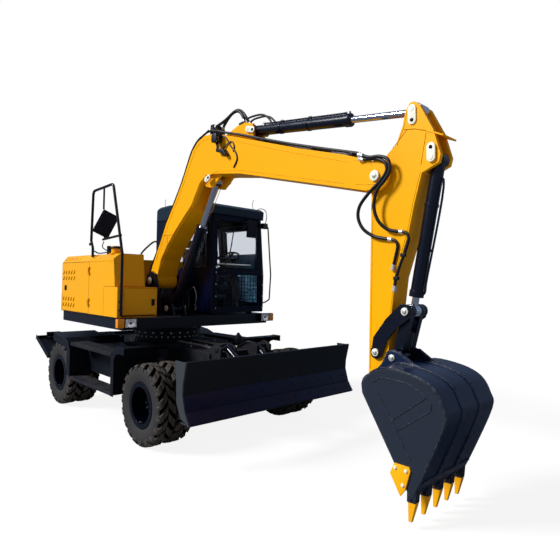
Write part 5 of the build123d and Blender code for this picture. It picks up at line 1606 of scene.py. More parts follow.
    def valves(self) -> None:
        """The valve block, reservoir, swing motor and hoses round the boom's foot."""
        at = self.places.at
        block = Shape()
        block.block(at(-0.02, -0.58, self.platform), at(0.12, -0.42, 1.52), 0.006)
        block.block(at(-0.62, -0.50, self.platform), at(-0.46, -0.38, 1.62), 0.006)
        block.lathe([(0, 0), (0, 0.075), (0.26, 0.075), (0.30, 0.06), (0.30, 0.035), (0.36, 0.03), (0.36, 0)],
                    at(-0.62, -0.16, self.platform), UP, 28)
        for k in range(self.feeds):
            block.lathe([(0, 0), (0, 0.017), (0.03, 0.015), (0.03, 0)], at(0.01 + 0.03 * k, -0.42, 1.46),
                        (0, 1, 0.0), 12)
        block.settle("valve_block", "upper_body", Palette.cast)
        bottle = Shape().lathe([(0, 0), (0, 0.05), (0.10, 0.055), (0.15, 0.050), (0.19, 0.024), (0.21, 0.024),
                                (0.215, 0.032), (0.235, 0.032), (0.24, 0)], at(-0.14, -0.48, 1.56), UP, 28)
        bottle.block(at(-0.20, -0.53, self.platform), at(-0.08, -0.43, 1.562), 0.006)
        bottle.settle("reservoir", "upper_body", Palette.plastic)
        hoses = Shape()
        for k in range(self.feeds):
            y = -0.44 - 0.035 * k
            hoses.tube([at(0.02 + 0.03 * k, -0.40, 1.46), at(0.03 + 0.03 * k, -0.385, 1.40),
                        at(0.0 + 0.03 * k, -0.40, 1.33), at(-0.15, y, 1.325), at(-0.40, y, 1.33),
                        at(-0.54, y, 1.36)], 0.013, 8, 6)
            x = 0.02 + 0.05 * k
            hoses.tube([at(x, 0.02, self.platform), at(x + 0.01, 0.03 + 0.012 * k, 1.42),
                        at(x - 0.06, 0.04 + 0.015 * k, 1.60), at(x - 0.20, 0.05 + 0.015 * k, 1.70),
                        at(x - 0.42, 0.04, 1.66), at(x - 0.52, 0.00, 1.50)], 0.013, 8, 6)
        hoses.tube([at(0.34, 0.02, self.platform), at(0.36, 0.05, 1.40), at(0.34, 0.08, 1.56),
                    at(0.26, 0.08, 1.66), at(0.18, 0.06, 1.60)], 0.012, 8, 6)
        hoses.settle("platform_hoses", "upper_body", Palette.hose)
        ends = Shape()
        for k in range(self.feeds):
            ends.lathe(drum(0.018, 0.04), at(0.02 + 0.03 * k, -0.395, 1.462), (0, -0.5, -0.9), 10)
        ends.lathe(drum(0.014, 0.07), at(0.355, 0.05, 1.36), (0.0, 0.15, 1), 10)
        ends.settle("hose_ends", "upper_body", Palette.zinc)

    def chimney(self) -> None:
        """Rings round the exhaust's foot and its mouth."""
        at = self.places.at
        shape = Shape().lathe([(0, 0.047), (0, 0.052), (0.012, 0.052), (0.012, 0.047)],
                              at(-1.08, -0.50, 2.08), UP, 28, loop=True)
        shape.lathe([(0.0, 0.036), (0.0, 0.045), (0.004, 0.0465), (0.004, 0.036)], at(-1.08, -0.50, 2.234),
                    UP, 28, loop=True)
        shape.settle("exhaust_trim", "upper_body", Palette.cast)


# ------------------------------------------------------------------ cab
@dataclass
class Cab:
    """The cab's panes, seals, wiper, seat, levers, lamp, aerials and trim."""

    places: Places
    front: float = 0.560
    right: float = 0.165
    left: float = 1.110
    seat_y: float = 0.650
    sill: float = 1.935
    gutter: float = 2.655
    floor: float = 1.376
    lean_from: float = 1.880
    lean_height: float = 0.770
    lean_reach: float = 0.070
    voxel: float = 0.009
    swell_pressure: float = 4.0
    swell_frames: int = 20

    def build(self) -> None:
        """Dress the cab and add its fittings."""
        nodes = self.places.nodes
        Palette.cab.dress(nodes["cab_shell"], nodes["cab_door"], nodes["window_guard"])
        Palette.roof.dress(nodes["cab_roof"])
        Palette.skirt.dress(nodes["cab_rail"])
        Palette.plastic.dress(nodes["console"])
        Palette.glass.dress(nodes["cab_glass"], nodes["cab_door_glass"])
        self.seals()
        self.wiper()
        self.roof()
        self.seat()
        self.levers()
        self.inside()
        self.guard()
        self.door()

    def frame(self, shape: Shape, corners: Sequence[Vector], radius: float) -> None:
        """Add a rounded rubber frame round a window.

        Args:
            shape: The shape to add to.
            corners: The window's corners in order.
            radius: The rubber's radius.
        """
        points: list[Vector] = []
        count = len(corners)
        for i, corner in enumerate(corners):
            before, after = corners[i - 1], corners[(i + 1) % count]
            reach = 0.045
            a = corner + (before - corner).normalized() * reach
            b = corner + (after - corner).normalized() * reach
            points += [a.lerp(corner, s).lerp(corner.lerp(b, s), s) for s in (0, 0.25, 0.5, 0.75, 1)]
        points.append(points[0])
        shape.tube(points, radius, 6, smooth=False)

    def seals(self) -> None:
        """Rubber frames round every window."""
        shape = Shape()
        front, rear, right, left = self.front + 0.001, -0.921, self.right - 0.001, self.left + 0.001
        for xs, ys, zs, leans in (
                ((front, front), (self.right + 0.075, self.left - 0.155), (self.sill, 2.575), False),
                ((front, front), (self.right + 0.075, self.left - 0.075), (1.405, 1.855), False),
                ((-0.695, 0.455), (right, right), (self.sill, 2.565), False),
                ((rear, rear), (self.right + 0.115, self.left - 0.165), (1.955, 2.565), False),
                ((-0.835, -0.475), (left, left), (1.955, 2.565), True)):
            self.frame(shape, self.opening(xs, ys, zs, leans), 0.008)
        shape.settle("window_seals", "upper_body", Palette.seal)

    def opening(self, xs: Pair, ys: Pair, zs: Pair, leans: bool = True) -> list[Vector]:
        """The corners of an upright opening, out along its foot and back along its head.

        Args:
            xs: The stations of its two ends.
            ys: Their sides.
            zs: The heights of its foot and its head.
            leans: Whether it leans with the left wall.

        Returns:
            Its four corners.
        """
        ends = list(zip(xs, ys))
        corners = [(*end, zs[0]) for end in ends] + [(*end, zs[1]) for end in ends[::-1]]
        return [self.places.at(x, y - (self.lean(z) if leans else 0.0), z) for x, y, z in corners]

    def lean(self, height: float) -> float:
        """How far the left wall leans in at a height."""
        return max(0.0, (height - self.lean_from) / self.lean_height) * self.lean_reach

    def wiper(self) -> None:
        """The wiper's motor cover, arm and blade on the windscreen, and the bar behind it."""
        at = self.places.at
        x = self.front
        shape = Shape()
        shape.block(at(x, 0.30, 1.885), at(x + 0.022, 0.38, 1.925), 0.005)
        shape.tube([at(x + 0.016, 0.34, 1.91), at(x + 0.022, 0.42, 2.10), at(x + 0.018, 0.48, 2.28)], 0.006,
                   8, 5)
        shape.tube([at(x + 0.008, 0.44, 2.05), at(x + 0.008, 0.48, 2.28), at(x + 0.008, 0.52, 2.50)], 0.007,
                   6, 5)
        shape.settle("wiper", "upper_body", Palette.plastic)
        rail = Shape()
        rail.tube([at(x - 0.045, 0.29, 1.99), at(x - 0.075, 0.31, 1.99), at(x - 0.075, 0.85, 1.99),
                   at(x - 0.045, 0.87, 1.99)], 0.010, 8, 4)
        rail.settle("windscreen_bar", "upper_body", Palette.zinc)

    def roof(self) -> None:
        """The roof's hatch, gutter and aerials, and the work lamp with its cable."""
        at = self.places.at
        hatch = Shape()
        hatch.plate([at(-0.42, 0.36, 2.878), at(0.22, 0.36, 2.838), at(0.22, 0.86, 2.838),
                     at(-0.42, 0.86, 2.878)], Vector((0.0006, 0, 0.010)), 0.004)
        hatch.tube([at(-0.15, 0.55, 2.875), at(-0.15, 0.56, 2.888), at(-0.15, 0.66, 2.888),
                    at(-0.15, 0.67, 2.875)], 0.006, 6, 4)
        hatch.settle("roof_hatch", "upper_body", Palette.cab)
        drip = Shape()
        drip.tube([at(-0.915, self.right - 0.004, self.gutter),
                   at(self.front + 0.010, self.right - 0.004, self.gutter),
                   at(self.front + 0.020, self.right + 0.02, self.gutter),
                   at(self.front + 0.020, self.left - 0.09, self.gutter),
                   at(self.front + 0.010, self.left - 0.066, self.gutter),
                   at(-0.915, self.left - 0.066, self.gutter)], 0.007, 8, smooth=False)
        drip.settle("roof_gutter", "upper_body", Palette.cab)
        aerial = Shape()
        for x, y, z in ((0.47, 0.93, 2.79), (-0.80, 0.24, 2.845)):
            aerial.lathe([(0, 0), (0, 0.018), (0.02, 0.012), (0.02, 0)], at(x, y, z), UP, 14)
            aerial.tube([at(x, y, z + 0.015), at(x - 0.012, y, z + 0.09), at(x + 0.012, y - 0.004, z + 0.15)],
                        0.0035, 6, 5)
        aerial.settle("aerials", "upper_body", Palette.plastic)
        lamp = Shape()
        lamp.block(at(0.585, 0.985, 2.520), at(0.645, 1.075, 2.600), 0.010)
        lamp.block(at(0.565, 0.965, 2.545), at(0.590, 0.990, 2.575), 0.003)
        lamp.block(at(0.5605, 0.955, 2.53), at(0.570, 0.985, 2.60), 0.003)
        lamp.settle("cab_lamp", "upper_body", Palette.plastic)
        glass = Shape().block(at(0.643, 0.992, 2.528), at(0.650, 1.068, 2.592), 0.003)
        glass.settle("cab_lamp_lens", "upper_body", Palette.lens)
        wire = Shape().tube([at(0.52, 0.96, 2.795), at(0.56, 1.00, 2.815), at(0.60, 1.055, 2.79),
                             at(0.615, 1.07, 2.70), at(0.615, 1.05, 2.598)], 0.0065, 8)
        wire.settle("cab_lamp_cable", "upper_body", Palette.zinc)

    def cushion(self, name: str, low: Vector, high: Vector, turn: float, pivot: Vector,
                crown: float) -> bpy.types.Object:
        """A padded cushion, swollen by a short cloth simulation.

        Args:
            name: The cushion's name.
            low: One corner before it is turned.
            high: The opposite corner.
            turn: How far it leans, in radians about Y.
            pivot: The point it leans about.
            crown: The furthest that a point may swell.

        Returns:
            The cushion.
        """
        shape = Shape()
        shape.block(low, high, 0.022)
        bmesh.ops.subdivide_edges(shape.bm, edges=shape.bm.edges[:], cuts=2, use_grid_fill=True)
        spin = Matrix.Translation(pivot) @ Matrix.Rotation(turn, 4, "Y") @ Matrix.Translation(-pivot)
        bmesh.ops.transform(shape.bm, matrix=spin, verts=shape.bm.verts[:])
        pad = shape.piece(name, Palette.cloth)
        remesh = pad.modifiers.new("voxels", "REMESH")
        remesh.mode, remesh.voxel_size = "VOXEL", self.voxel
        self.bake(pad)
        start = [v.co.copy() for v in pad.data.vertices]
        cloth = pad.modifiers.new("swell", "CLOTH")
        cloth.settings.use_pressure = True
        cloth.settings.uniform_pressure_force = self.swell_pressure
        cloth.settings.effector_weights.gravity = 0.0
        cloth.point_cache.frame_start, cloth.point_cache.frame_end = 1, self.swell_frames
        for frame in range(1, self.swell_frames + 1):
            bpy.context.scene.frame_set(frame)
        self.bake(pad)
        bpy.context.scene.frame_set(1)
        for vert, was in zip(pad.data.vertices, start):
            moved = vert.co - was
            if moved.length > crown:
                vert.co = was + moved.normalized() * crown
        pad.data.polygons.foreach_set("use_smooth", [True] * len(pad.data.polygons))
        return pad

    def bake(self, pad: bpy.types.Object) -> None:
        """Apply the modifiers that a pad carries."""
        graph = bpy.context.evaluated_depsgraph_get()
        mesh = bpy.data.meshes.new_from_object(pad.evaluated_get(graph))
        pad.modifiers.clear()
        old, name = pad.data, pad.name
        pad.data = mesh
        mesh.name = name
        bpy.data.meshes.remove(old)
        Palette.cloth.dress(pad)

    def seat(self) -> None:
        """A padded seat, backrest and headrest on a sprung base, in place of the plain seat."""
        at, y = self.places.at, self.seat_y
        base = self.cushion("seat_cushion", at(-0.50, y - 0.225, 1.725), at(-0.035, y + 0.225, 1.795),
                            math.radians(-3), at(-0.30, y, 1.76), 0.012)
        back = self.cushion("seat_back", at(-0.565, y - 0.215, 1.815), at(-0.490, y + 0.215, 2.255),
                            math.radians(-11), at(-0.53, y, 1.80), 0.012)
        head = self.cushion("seat_headrest", at(-0.560, y - 0.125, 2.270), at(-0.500, y + 0.125, 2.390),
                            math.radians(-11), at(-0.53, y, 1.80), 0.010)
        frame = Shape()
        frame.block(at(-0.48, y - 0.20, 1.690), at(-0.08, y + 0.20, 1.722), 0.008)
        frame.block(at(-0.46, y - 0.14, 1.40), at(-0.14, y + 0.14, 1.44), 0.006)
        for step in range(5):
            inset = 0.008 * (step % 2)
            z = 1.44 + step * 0.05
            frame.block(at(-0.45 + inset, y - 0.135 + inset, z),
                        at(-0.15 - inset, y + 0.135 - inset, z + 0.05), 0.010)
        for side in (-1, 1):
            frame.block(at(-0.56, y + side * 0.235, 1.72), at(-0.44, y + side * 0.245, 1.86), 0.004)
            frame.tube([at(-0.605, y + side * 0.06, 2.18), at(-0.615, y + side * 0.06, 2.30)], 0.006, 8,
                       smooth=False)
        carrier = frame.piece("seat_base", Palette.plastic)
        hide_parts("seat")
        for piece in (base, back, head):
            settle(piece, "upper_body", Palette.cloth)
        settle(carrier, "upper_body", Palette.plastic)
        welt = Shape()
        for dz in (-0.10, 0.0, 0.10):
            welt.tube([at(-0.495 + dz * -0.19, y - 0.16, 2.04 + dz),
                       at(-0.493 + dz * -0.19, y + 0.16, 2.04 + dz)], 0.004, 6, smooth=False)
        welt.settle("seat_welts", "upper_body", Palette.seal)

    def levers(self) -> None:
        """Joystick boots and grips, the column's shroud, pedals and the monitor."""
        at, y = self.places.at, self.seat_y
        boots, grips = Shape(), Shape()
        for side in (-1, 1):
            foot = at(0.0, y + side * 0.30, 1.858)
            boots.lathe([(0, 0), (0, 0.055), (0.012, 0.050), (0.016, 0.042), (0.030, 0.044), (0.036, 0.034),
                         (0.050, 0.036), (0.056, 0.026), (0.072, 0.024), (0.075, 0)], foot, UP, 24)
            grips.lathe([(0, 0), (0, 0.020), (0.03, 0.027), (0.08, 0.029), (0.12, 0.033), (0.145, 0.024),
                         (0.15, 0)], foot + Vector((0.0, 0, 0.105)), (0.06, 0, 1), 20)
            grips.block(at(-0.42, y + side * 0.30 - 0.045, 1.862), at(-0.10, y + side * 0.30 + 0.045, 1.900),
                        0.014)
        boots.settle("lever_boots", "upper_body", Palette.seal)
        grips.settle("lever_grips", "upper_body", Palette.plastic)
        pedals = Shape()
        for dy in (-0.16, -0.07, 0.09, 0.18):
            pedals.block(at(0.34, y + dy - 0.035, 1.44), at(0.44, y + dy + 0.035, 1.455), 0.004,
                         Matrix.Rotation(math.radians(-35), 3, "Y"))
            pedals.tube([at(0.40, y + dy, 1.44), at(0.45, y + dy, 1.378)], 0.009, 8, smooth=False)
        pedals.settle("pedals", "upper_body", Palette.cast)
        monitor = Shape()
        monitor.block(at(0.33, 0.245, 2.05), at(0.365, 0.405, 2.17), 0.010)
        monitor.tube([at(0.37, 0.30, 2.06), at(0.42, 0.27, 1.98), at(0.47, 0.235, 1.93)], 0.010, 8, 4)
        monitor.settle("monitor", "upper_body", Palette.plastic)
        screen = Shape().block(at(0.3285, 0.258, 2.062), at(0.3305, 0.392, 2.158), 0.0008)
        screen.settle("monitor_screen", "upper_body", Palette.mirror)

    def inside(self) -> None:
        """The linings, dashboard, rear shelf, floor mat and console covers."""
        at = self.places.at
        shape = Shape()
        shape.block(at(0.40, 0.225, 1.860), at(0.505, 1.045, 1.900), 0.012)
        shape.block(at(-0.865, 0.225, 1.80), at(-0.70, 1.045, 1.86), 0.012)
        shape.block(at(-0.865, 0.225, self.floor), at(-0.70, 1.050, 1.80), 0.010)
        shape.block(at(-0.66, 0.222, 1.40), at(0.47, 0.232, 1.90), 0.004)
        shape.settle("cab_lining", "upper_body", Palette.trim)
        head = Shape().block(at(-0.80, 0.30, 2.60), at(0.40, 0.95, 2.612), 0.005)
        head.settle("roof_lining", "upper_body", Palette.liner)
        mat = Shape().block(at(-0.60, 0.24, 1.3755), at(0.49, 1.03, 1.381), 0.001)
        mat.settle("floor_mat", "upper_body", Palette.seal)
        rib = Shape().block((-0.50, -0.004, 0), (0.50, 0.004, 0.003), 0.001)
        ribs = in_line(rib, "mat_ribs", Palette.seal, at(-0.05, 0.27, 1.3808), 24, (0, 0.0318, 0))
        settle(ribs, "upper_body", Palette.seal)
        cases = Shape()
        for side, tall in ((-1, 0.10), (1, 0.14)):
            y = self.seat_y + side * 0.30
            cases.block(at(-0.47, y - 0.06, 1.48), at(0.07, y + 0.06, 1.56), 0.010)
            cases.block(at(-0.30, y - 0.058, 1.62), at(0.06, y + 0.058, 1.62 + tall), 0.010)
        cases.settle("console_covers", "upper_body", Palette.lining)

    def guard(self) -> None:
        """Screws in the window guard's frame."""
        at = self.places.at
        screw = Shape().hexagon(ORIGIN, ALONG, 0.013, 0.006)
        x = self.places.high("window_guard").x - self.places.mid
        made = lattice(screw, "guard_screws", Palette.zinc, at(x, self.right + 0.058, 1.39), 2,
                       (0, self.left - self.right - 0.116, 0), 4, (0, 0, 0.160))
        settle(made, "upper_body", Palette.zinc)

    def door(self) -> None:
        """The door's seals, lining, tinted sash and lock."""
        at = self.places.at
        shape = Shape()
        y = self.left + 0.001
        for foot, head in ((1.455, 1.855), (self.sill, 2.525)):
            self.frame(shape, self.opening((-0.315, 0.425), (y, y), (foot, head)), 0.007)
        shape.settle("door_seals", "cab_door", Palette.seal)
        lining = Shape().block(at(-0.312, self.left - 0.036, 1.452), at(0.424, self.left - 0.030, 1.856),
                               0.002)
        lining.block(at(-0.20, self.left - 0.052, 1.60), at(0.20, self.left - 0.034, 1.68), 0.006)
        lining.settle("door_lining", "cab_door", Palette.lining)
        sash, ends, heights = Shape(), (-0.312, 0.424), (1.940, 2.165)
        sash.plate(self.opening(ends, (y - 0.040, y - 0.040), heights), Vector((0, -0.004, 0)), 0.001)
        sash.settle("door_sash", "cab_door", Palette.sash)
        back = Shape().block(at(-0.312, self.left - 0.0290, 1.452), at(0.424, self.left - 0.0265, 1.856),
                             0.001)
        back.plate(self.opening(ends, (y - 0.037, y - 0.037), heights), Vector((0, -0.002, 0)), 0.0005)
        back.settle("door_backing", "cab_door", Palette.plastic)
        lock = Shape()
        lock.block(at(0.442, self.left, 1.872), at(0.482, self.left + 0.010, 1.912), 0.004)
        lock.lathe([(0, 0), (0, 0.010), (0.006, 0.009), (0.006, 0)], at(0.462, self.left + 0.010, 1.892),
                   ACROSS, 16)
        lock.settle("door_lock", "cab_door", Palette.zinc)


# ------------------------------------------------------------------ boom, arm and bucket
def stadium(one: Pair, two: Pair, radius: float, steps: int = 10) -> list[Pair]:
    """The outline of a strip with round ends between two side-view points."""
    angle = math.atan2(two[1] - one[1], two[0] - one[0])
    turns = [angle + math.pi * (0.5 + k / steps) for k in range(steps + 1)]
    return ([(one[0] + radius * math.cos(a), one[1] + radius * math.sin(a)) for a in turns]
            + [(two[0] - radius * math.cos(a), two[1] - radius * math.sin(a)) for a in turns])


def eased(points: Sequence[Pair], steps: int = 4) -> list[Pair]:
    """A side-view line drawn smoothly through its points, as the bucket's shell is."""
    ends = [points[0], *points, points[-1]]
    line = []
    for four in zip(ends, ends[1:], ends[2:], ends[3:]):
        for step in range(steps):
            t = step / steps
            line.append(tuple(0.5 * (2 * q + (r - p) * t + (2 * p - 5 * q + 4 * r - s) * t * t
                                     + (3 * q - p - 3 * r + s) * t ** 3) for p, q, r, s in zip(*four)))
    return line + [points[-1]]


@dataclass
class Linkage:
    """What the boom's and the arm's fittings share."""

    places: Places
    middle: float = -0.160

    def hoses(self, name: str, body: str, runs: Sequence[tuple[float, Sequence[Pair]]], radius: float,
              finish: Finish, sides: int = 10) -> bpy.types.Object:
        """Add hoses or pipes that each keep to one side.

        Args:
            name: The piece's name.
            body: The body that it rides on.
            runs: For each hose its side, then its side-view points.
            radius: The hose's radius.
            finish: Its finish.
            sides: Corners round a hose.

        Returns:
            The piece.
        """
        shape = Shape()
        for side, points in runs:
            shape.tube([self.places.at(x, side, z) for x, z in points], radius, sides)
        return shape.settle(name, body, finish)

    def seams(self, name: str, body: str, lines: Sequence[Sequence[Pair]], faces: Sequence[float],
              finish: Finish, radius: float = 0.0035) -> None:
        """Add thin beads along side-view lines on flat faces: welds, and in the darker yellow painted shadow
        lines where plates meet.
        """
        shape = Shape()
        for face in faces:
            for points in lines:
                shape.tube([self.places.at(x, face, z) for x, z in points], radius, 6, smooth=False)
        shape.settle(name, body, finish)

    def caps(self, name: str, body: str, pins: Sequence[tuple[float, ...]], finish: Finish) -> None:
        """Add caps on both ends of pins, each with its keeper's bolt.

        Args:
            name: The piece's name.
            body: The body that they ride on.
            pins: Station, height, how far out the face is and the cap's radius; then, where the cap is a long
                plate, how far its other end lies along and up.
            finish: Their finish.
        """
        shape, bolts, centres = Shape(), Shape(), Shape()
        for x, z, out, radius, *reach in pins:
            along, up = reach or (0.0, 0.0)
            for side in (-1, 1):
                y = self.middle + side * out
                outline = stadium((x, z), (x + along, z + up), radius)
                shape.slab(self.places.flat(outline), y, y + side * 0.012, 0.003)
                shape.lathe([(0, radius * 0.55), (0.004, radius * 0.5), (0.004, 0)],
                            self.places.at(x, y + side * 0.011, z), (0, side, 0), 20)
                keeper, across = (bolts, 0.020) if reach else (centres, 0.030)
                keeper.hexagon(self.places.at(x + along, y + side * 0.012, z + up), (0, side, 0), across,
                               0.010)
        shape.settle(name, body, finish)
        if len(bolts.bm.faces):
            bolts.settle(f"{name}_keepers", body, Palette.seal)
        if len(centres.bm.faces):
            centres.settle(f"{name}_centres", body, Palette.zinc)


@dataclass
class Boom(Linkage):
    """The boom's welds, pipes, hoses, lamp and pin caps, and its cylinder's line."""

    back: tuple[Pair, ...] = ((-0.063, 2.021), (0.104, 2.28), (0.26, 2.53), (0.44, 2.77), (0.62, 3.03),
                              (0.74, 3.235), (0.83, 3.36), (0.92, 3.415), (1.02, 3.437), (1.20, 3.425),
                              (1.469, 3.348), (1.835, 3.232), (2.234, 3.105), (2.614, 2.985), (3.20, 2.81))
    belly: tuple[Pair, ...] = ((0.04, 1.90), (0.20, 2.13), (0.39, 2.32), (0.60, 2.50), (0.79, 2.655),
                               (0.95, 2.90), (1.06, 2.985), (1.30, 3.02), (1.72, 2.965), (2.61, 2.757),
                               (3.15, 2.63))
    spine: tuple[Pair, ...] = ((-0.11, 2.02), (0.04, 2.26), (0.18, 2.50), (0.38, 2.76), (0.55, 3.00),
                               (0.67, 3.21), (0.76, 3.35), (0.87, 3.44), (1.01, 3.485), (1.10, 3.485))
    back_hoses: tuple[Pair, ...] = ((-0.135, 0.030), (-0.100, 0.060), (-0.040, 0.022), (0.020, 0.022),
                                    (0.080, 0.022))
    half: float = 0.150

    def build(self) -> None:
        """Dress the boom and add its fittings."""
        nodes, mid = self.places.nodes, self.middle
        Palette.yellow.dress(nodes["boom"])
        Palette.cylinder.dress(nodes["boom_cylinder_barrel"], nodes["arm_cylinder_barrel"])
        Palette.chrome.dress(nodes["boom_cylinder_rod"], nodes["arm_cylinder_rod"])
        Palette.hose.dress(nodes["boom_hoses"])
        near, far = mid - self.half, mid + self.half
        self.seams("boom_welds", "boom", [self.back, self.belly,
                                          [(3.29, 2.604), (3.40, 2.585), (3.503, 2.576)],
                                          [(3.26, 2.82), (3.38, 2.775), (3.46, 2.74)]], (near, far),
                   Palette.yellow)
        # Darker lines where the boom's plates meet: painted shadow lines.
        self.seams("boom_joints", "boom", [[(0.112, 2.340), (0.381, 2.338)], [(0.208, 2.323), (0.214, 2.19)]],
                   (near - 0.0005, far + 0.0005), Palette.shade_yellow, 0.002)
        self.caps("boom_pin_caps", "boom", [(1.080, 2.955, 0.150, 0.036, 0.040, 0.014),
                                            (1.765, 3.420, 0.100, 0.034, 0.085, -0.026),
                                            (3.490, 2.645, 0.158, 0.045)], Palette.cap)
        self.caps("foot_pin_caps", "upper_body", [(-0.12, 1.74, 0.205, 0.050), (0.20, 1.38, 0.130, 0.040)],
                  Palette.cap)
        self.lines()
        self.lamp()
        self.cylinders()

    def lines(self) -> None:
        """Hoses and pipes along the boom's back, the arches at its bend, and hoses to the upper body."""
        mid, at = self.middle, self.places.at
        self.hoses("boom_back_hoses", "boom", [(mid + s, self.off_back(gap)) for s, gap in self.back_hoses],
                   0.012, Palette.hose)
        pipe = [(1.10, 3.535), (1.25, 3.500), (1.40, 3.450), (1.55, 3.405), (1.70, 3.360), (2.0, 3.262),
                (2.45, 3.118), (2.9, 2.985), (3.18, 2.905), (3.30, 2.868), (3.36, 2.835)]
        self.hoses("boom_pipes", "boom", [(mid + s, pipe) for s in (-0.128, 0.128)], 0.014, Palette.hose, 8)
        port = [(1.655, 3.560), (1.700, 3.572), (1.773, 3.573), (1.905, 3.560), (1.991, 3.522),
                (2.060, 3.455), (2.085, 3.400)]
        arches = [[at(x, mid + s * 0.035, z) for x, z in port] for s in (-1, 1)]
        blend = self.hoses_between("arm_cylinder_hoses", arches, 0.011)
        tuple(at(1.70, mid, 3.57))
        tuple(at(2.00, mid, 3.51))
        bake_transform(blend)
        feed = []
        for k, (s, gap) in enumerate(self.back_hoses[1:]):
            x, z = self.off_back(gap)[0]
            feed.append([at(-0.28 - 0.04 * k, mid + s, 1.52), at(-0.32 - 0.04 * k, mid + s, 1.85),
                         at(x - 0.17, mid + s, z - 0.22), at(x - 0.03, mid + s, z - 0.045),
                         at(x, mid + s, z)])
        s, gap = self.back_hoses[0]
        x, z = self.off_back(gap)[0]
        feed.append([at(-0.30, -0.42, 2.035), at(-0.30, -0.41, 2.10), at(-0.20, -0.37, 2.20),
                     at(-0.06, -0.33, 2.27), at(x - 0.02, mid + s, z - 0.035), at(x, mid + s, z)])
        loop = self.hoses_between("boom_feed_hoses", feed, 0.012)
        tuple(at(-0.30, mid - 0.1, 2.06))
        tuple(at(0.02, mid - 0.1, 2.34))
        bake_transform(loop)
        clamp = Shape()
        for x, z, lean in ((0.27, 2.640, 57), (0.55, 3.030, 60), (2.05, 3.232, -17), (2.75, 3.015, -17),
                           (3.22, 2.872, -16)):
            turn = Matrix.Rotation(math.radians(-lean), 3, "Y")
            wide = 0.148 if x < 1 else 0.142
            clamp.block(at(x - 0.022, mid - wide, z - 0.010), at(x + 0.022, mid + wide, z + 0.026), 0.005,
                        turn)
        clamp.settle("boom_clamps", "boom", Palette.plastic)
        ends = Shape()
        for side, x, z, dx, dz in ((0.055, 1.088, 3.603, 0.7, 0.6), (-0.055, 1.088, 3.592, 1, 0.2),
                                   (0.055, 1.628, 3.534, -0.5, 1), (-0.055, 1.643, 3.534, -0.5, 1)):
            ends.lathe([(-0.012, 0), (-0.012, 0.0205), (0.030, 0.0205), (0.034, 0.019), (0.034, 0)],
                       at(x, mid + side, z), (dx, 0, dz), 12)
        ends.settle("boom_hose_ends", "boom", Palette.zinc)

    def off_back(self, gap: float) -> list[Pair]:
        """A hose's side-view route up the boom's back, at a gap from it."""
        route = []
        for (x0, z0), (x1, z1), (x2, z2) in zip(self.spine, self.spine[1:], self.spine[2:]):
            along = Vector((x2 - x0, z2 - z0)).normalized()
            route.append((x1 - along.y * gap, z1 + along.x * gap))
        return [*route, (1.075, 3.540)]

    def hoses_between(self, name: str, runs: Sequence[Sequence[Vector]], radius: float) -> bpy.types.Object:
        """Hoses that are held at both ends."""
        shape = Shape()
        for points in runs:
            shape.tube(points, radius, 10)
        return shape.piece(name, Palette.hose)

    def lamp(self) -> None:
        """The work lamp on the boom's right side, its bracket, lens and cable."""
        at, face = self.places.at, self.middle - self.half
        shape = Shape()
        shape.block(at(1.300, face - 0.105, 3.325), at(1.385, face - 0.010, 3.425), 0.012)
        for k in range(5):
            shape.block(at(1.290, face - 0.098 + 0.018 * k, 3.335),
                        at(1.302, face - 0.092 + 0.018 * k, 3.415), 0.001)
        shape.slab(self.places.flat([(1.325, 3.33), (1.365, 3.33), (1.385, 3.26), (1.35, 3.25)]),
                   face - 0.062, face - 0.052, 0.001)
        shape.slab(self.places.flat([(1.33, 3.265), (1.46, 3.235), (1.52, 3.165), (1.47, 3.155),
                                     (1.42, 3.205), (1.33, 3.225)]), face - 0.060, face + 0.001, 0.002)
        shape.settle("boom_lamp", "boom", Palette.plastic)
        glass = Shape().block(at(1.383, face - 0.098, 3.332), at(1.391, face - 0.017, 3.418), 0.004)
        glass.settle("boom_lamp_lens", "boom", Palette.lens)
        cable = Shape().tube([at(1.34, face - 0.02, 3.42), at(1.44, face - 0.010, 3.379),
                              at(1.542, face - 0.008, 3.255), at(1.625, face - 0.007, 3.181),
                              at(1.656, face - 0.007, 3.097), at(1.598, face - 0.007, 3.011)], 0.008, 8)
        cable.tube([at(1.40, face - 0.03, 3.24), at(1.47, face - 0.012, 3.29), at(1.55, face - 0.008, 3.31),
                    at(1.60, face - 0.007, 3.25), at(1.585, face - 0.007, 3.19)], 0.007, 8)
        cable.settle("boom_lamp_cable", "boom", Palette.hose)

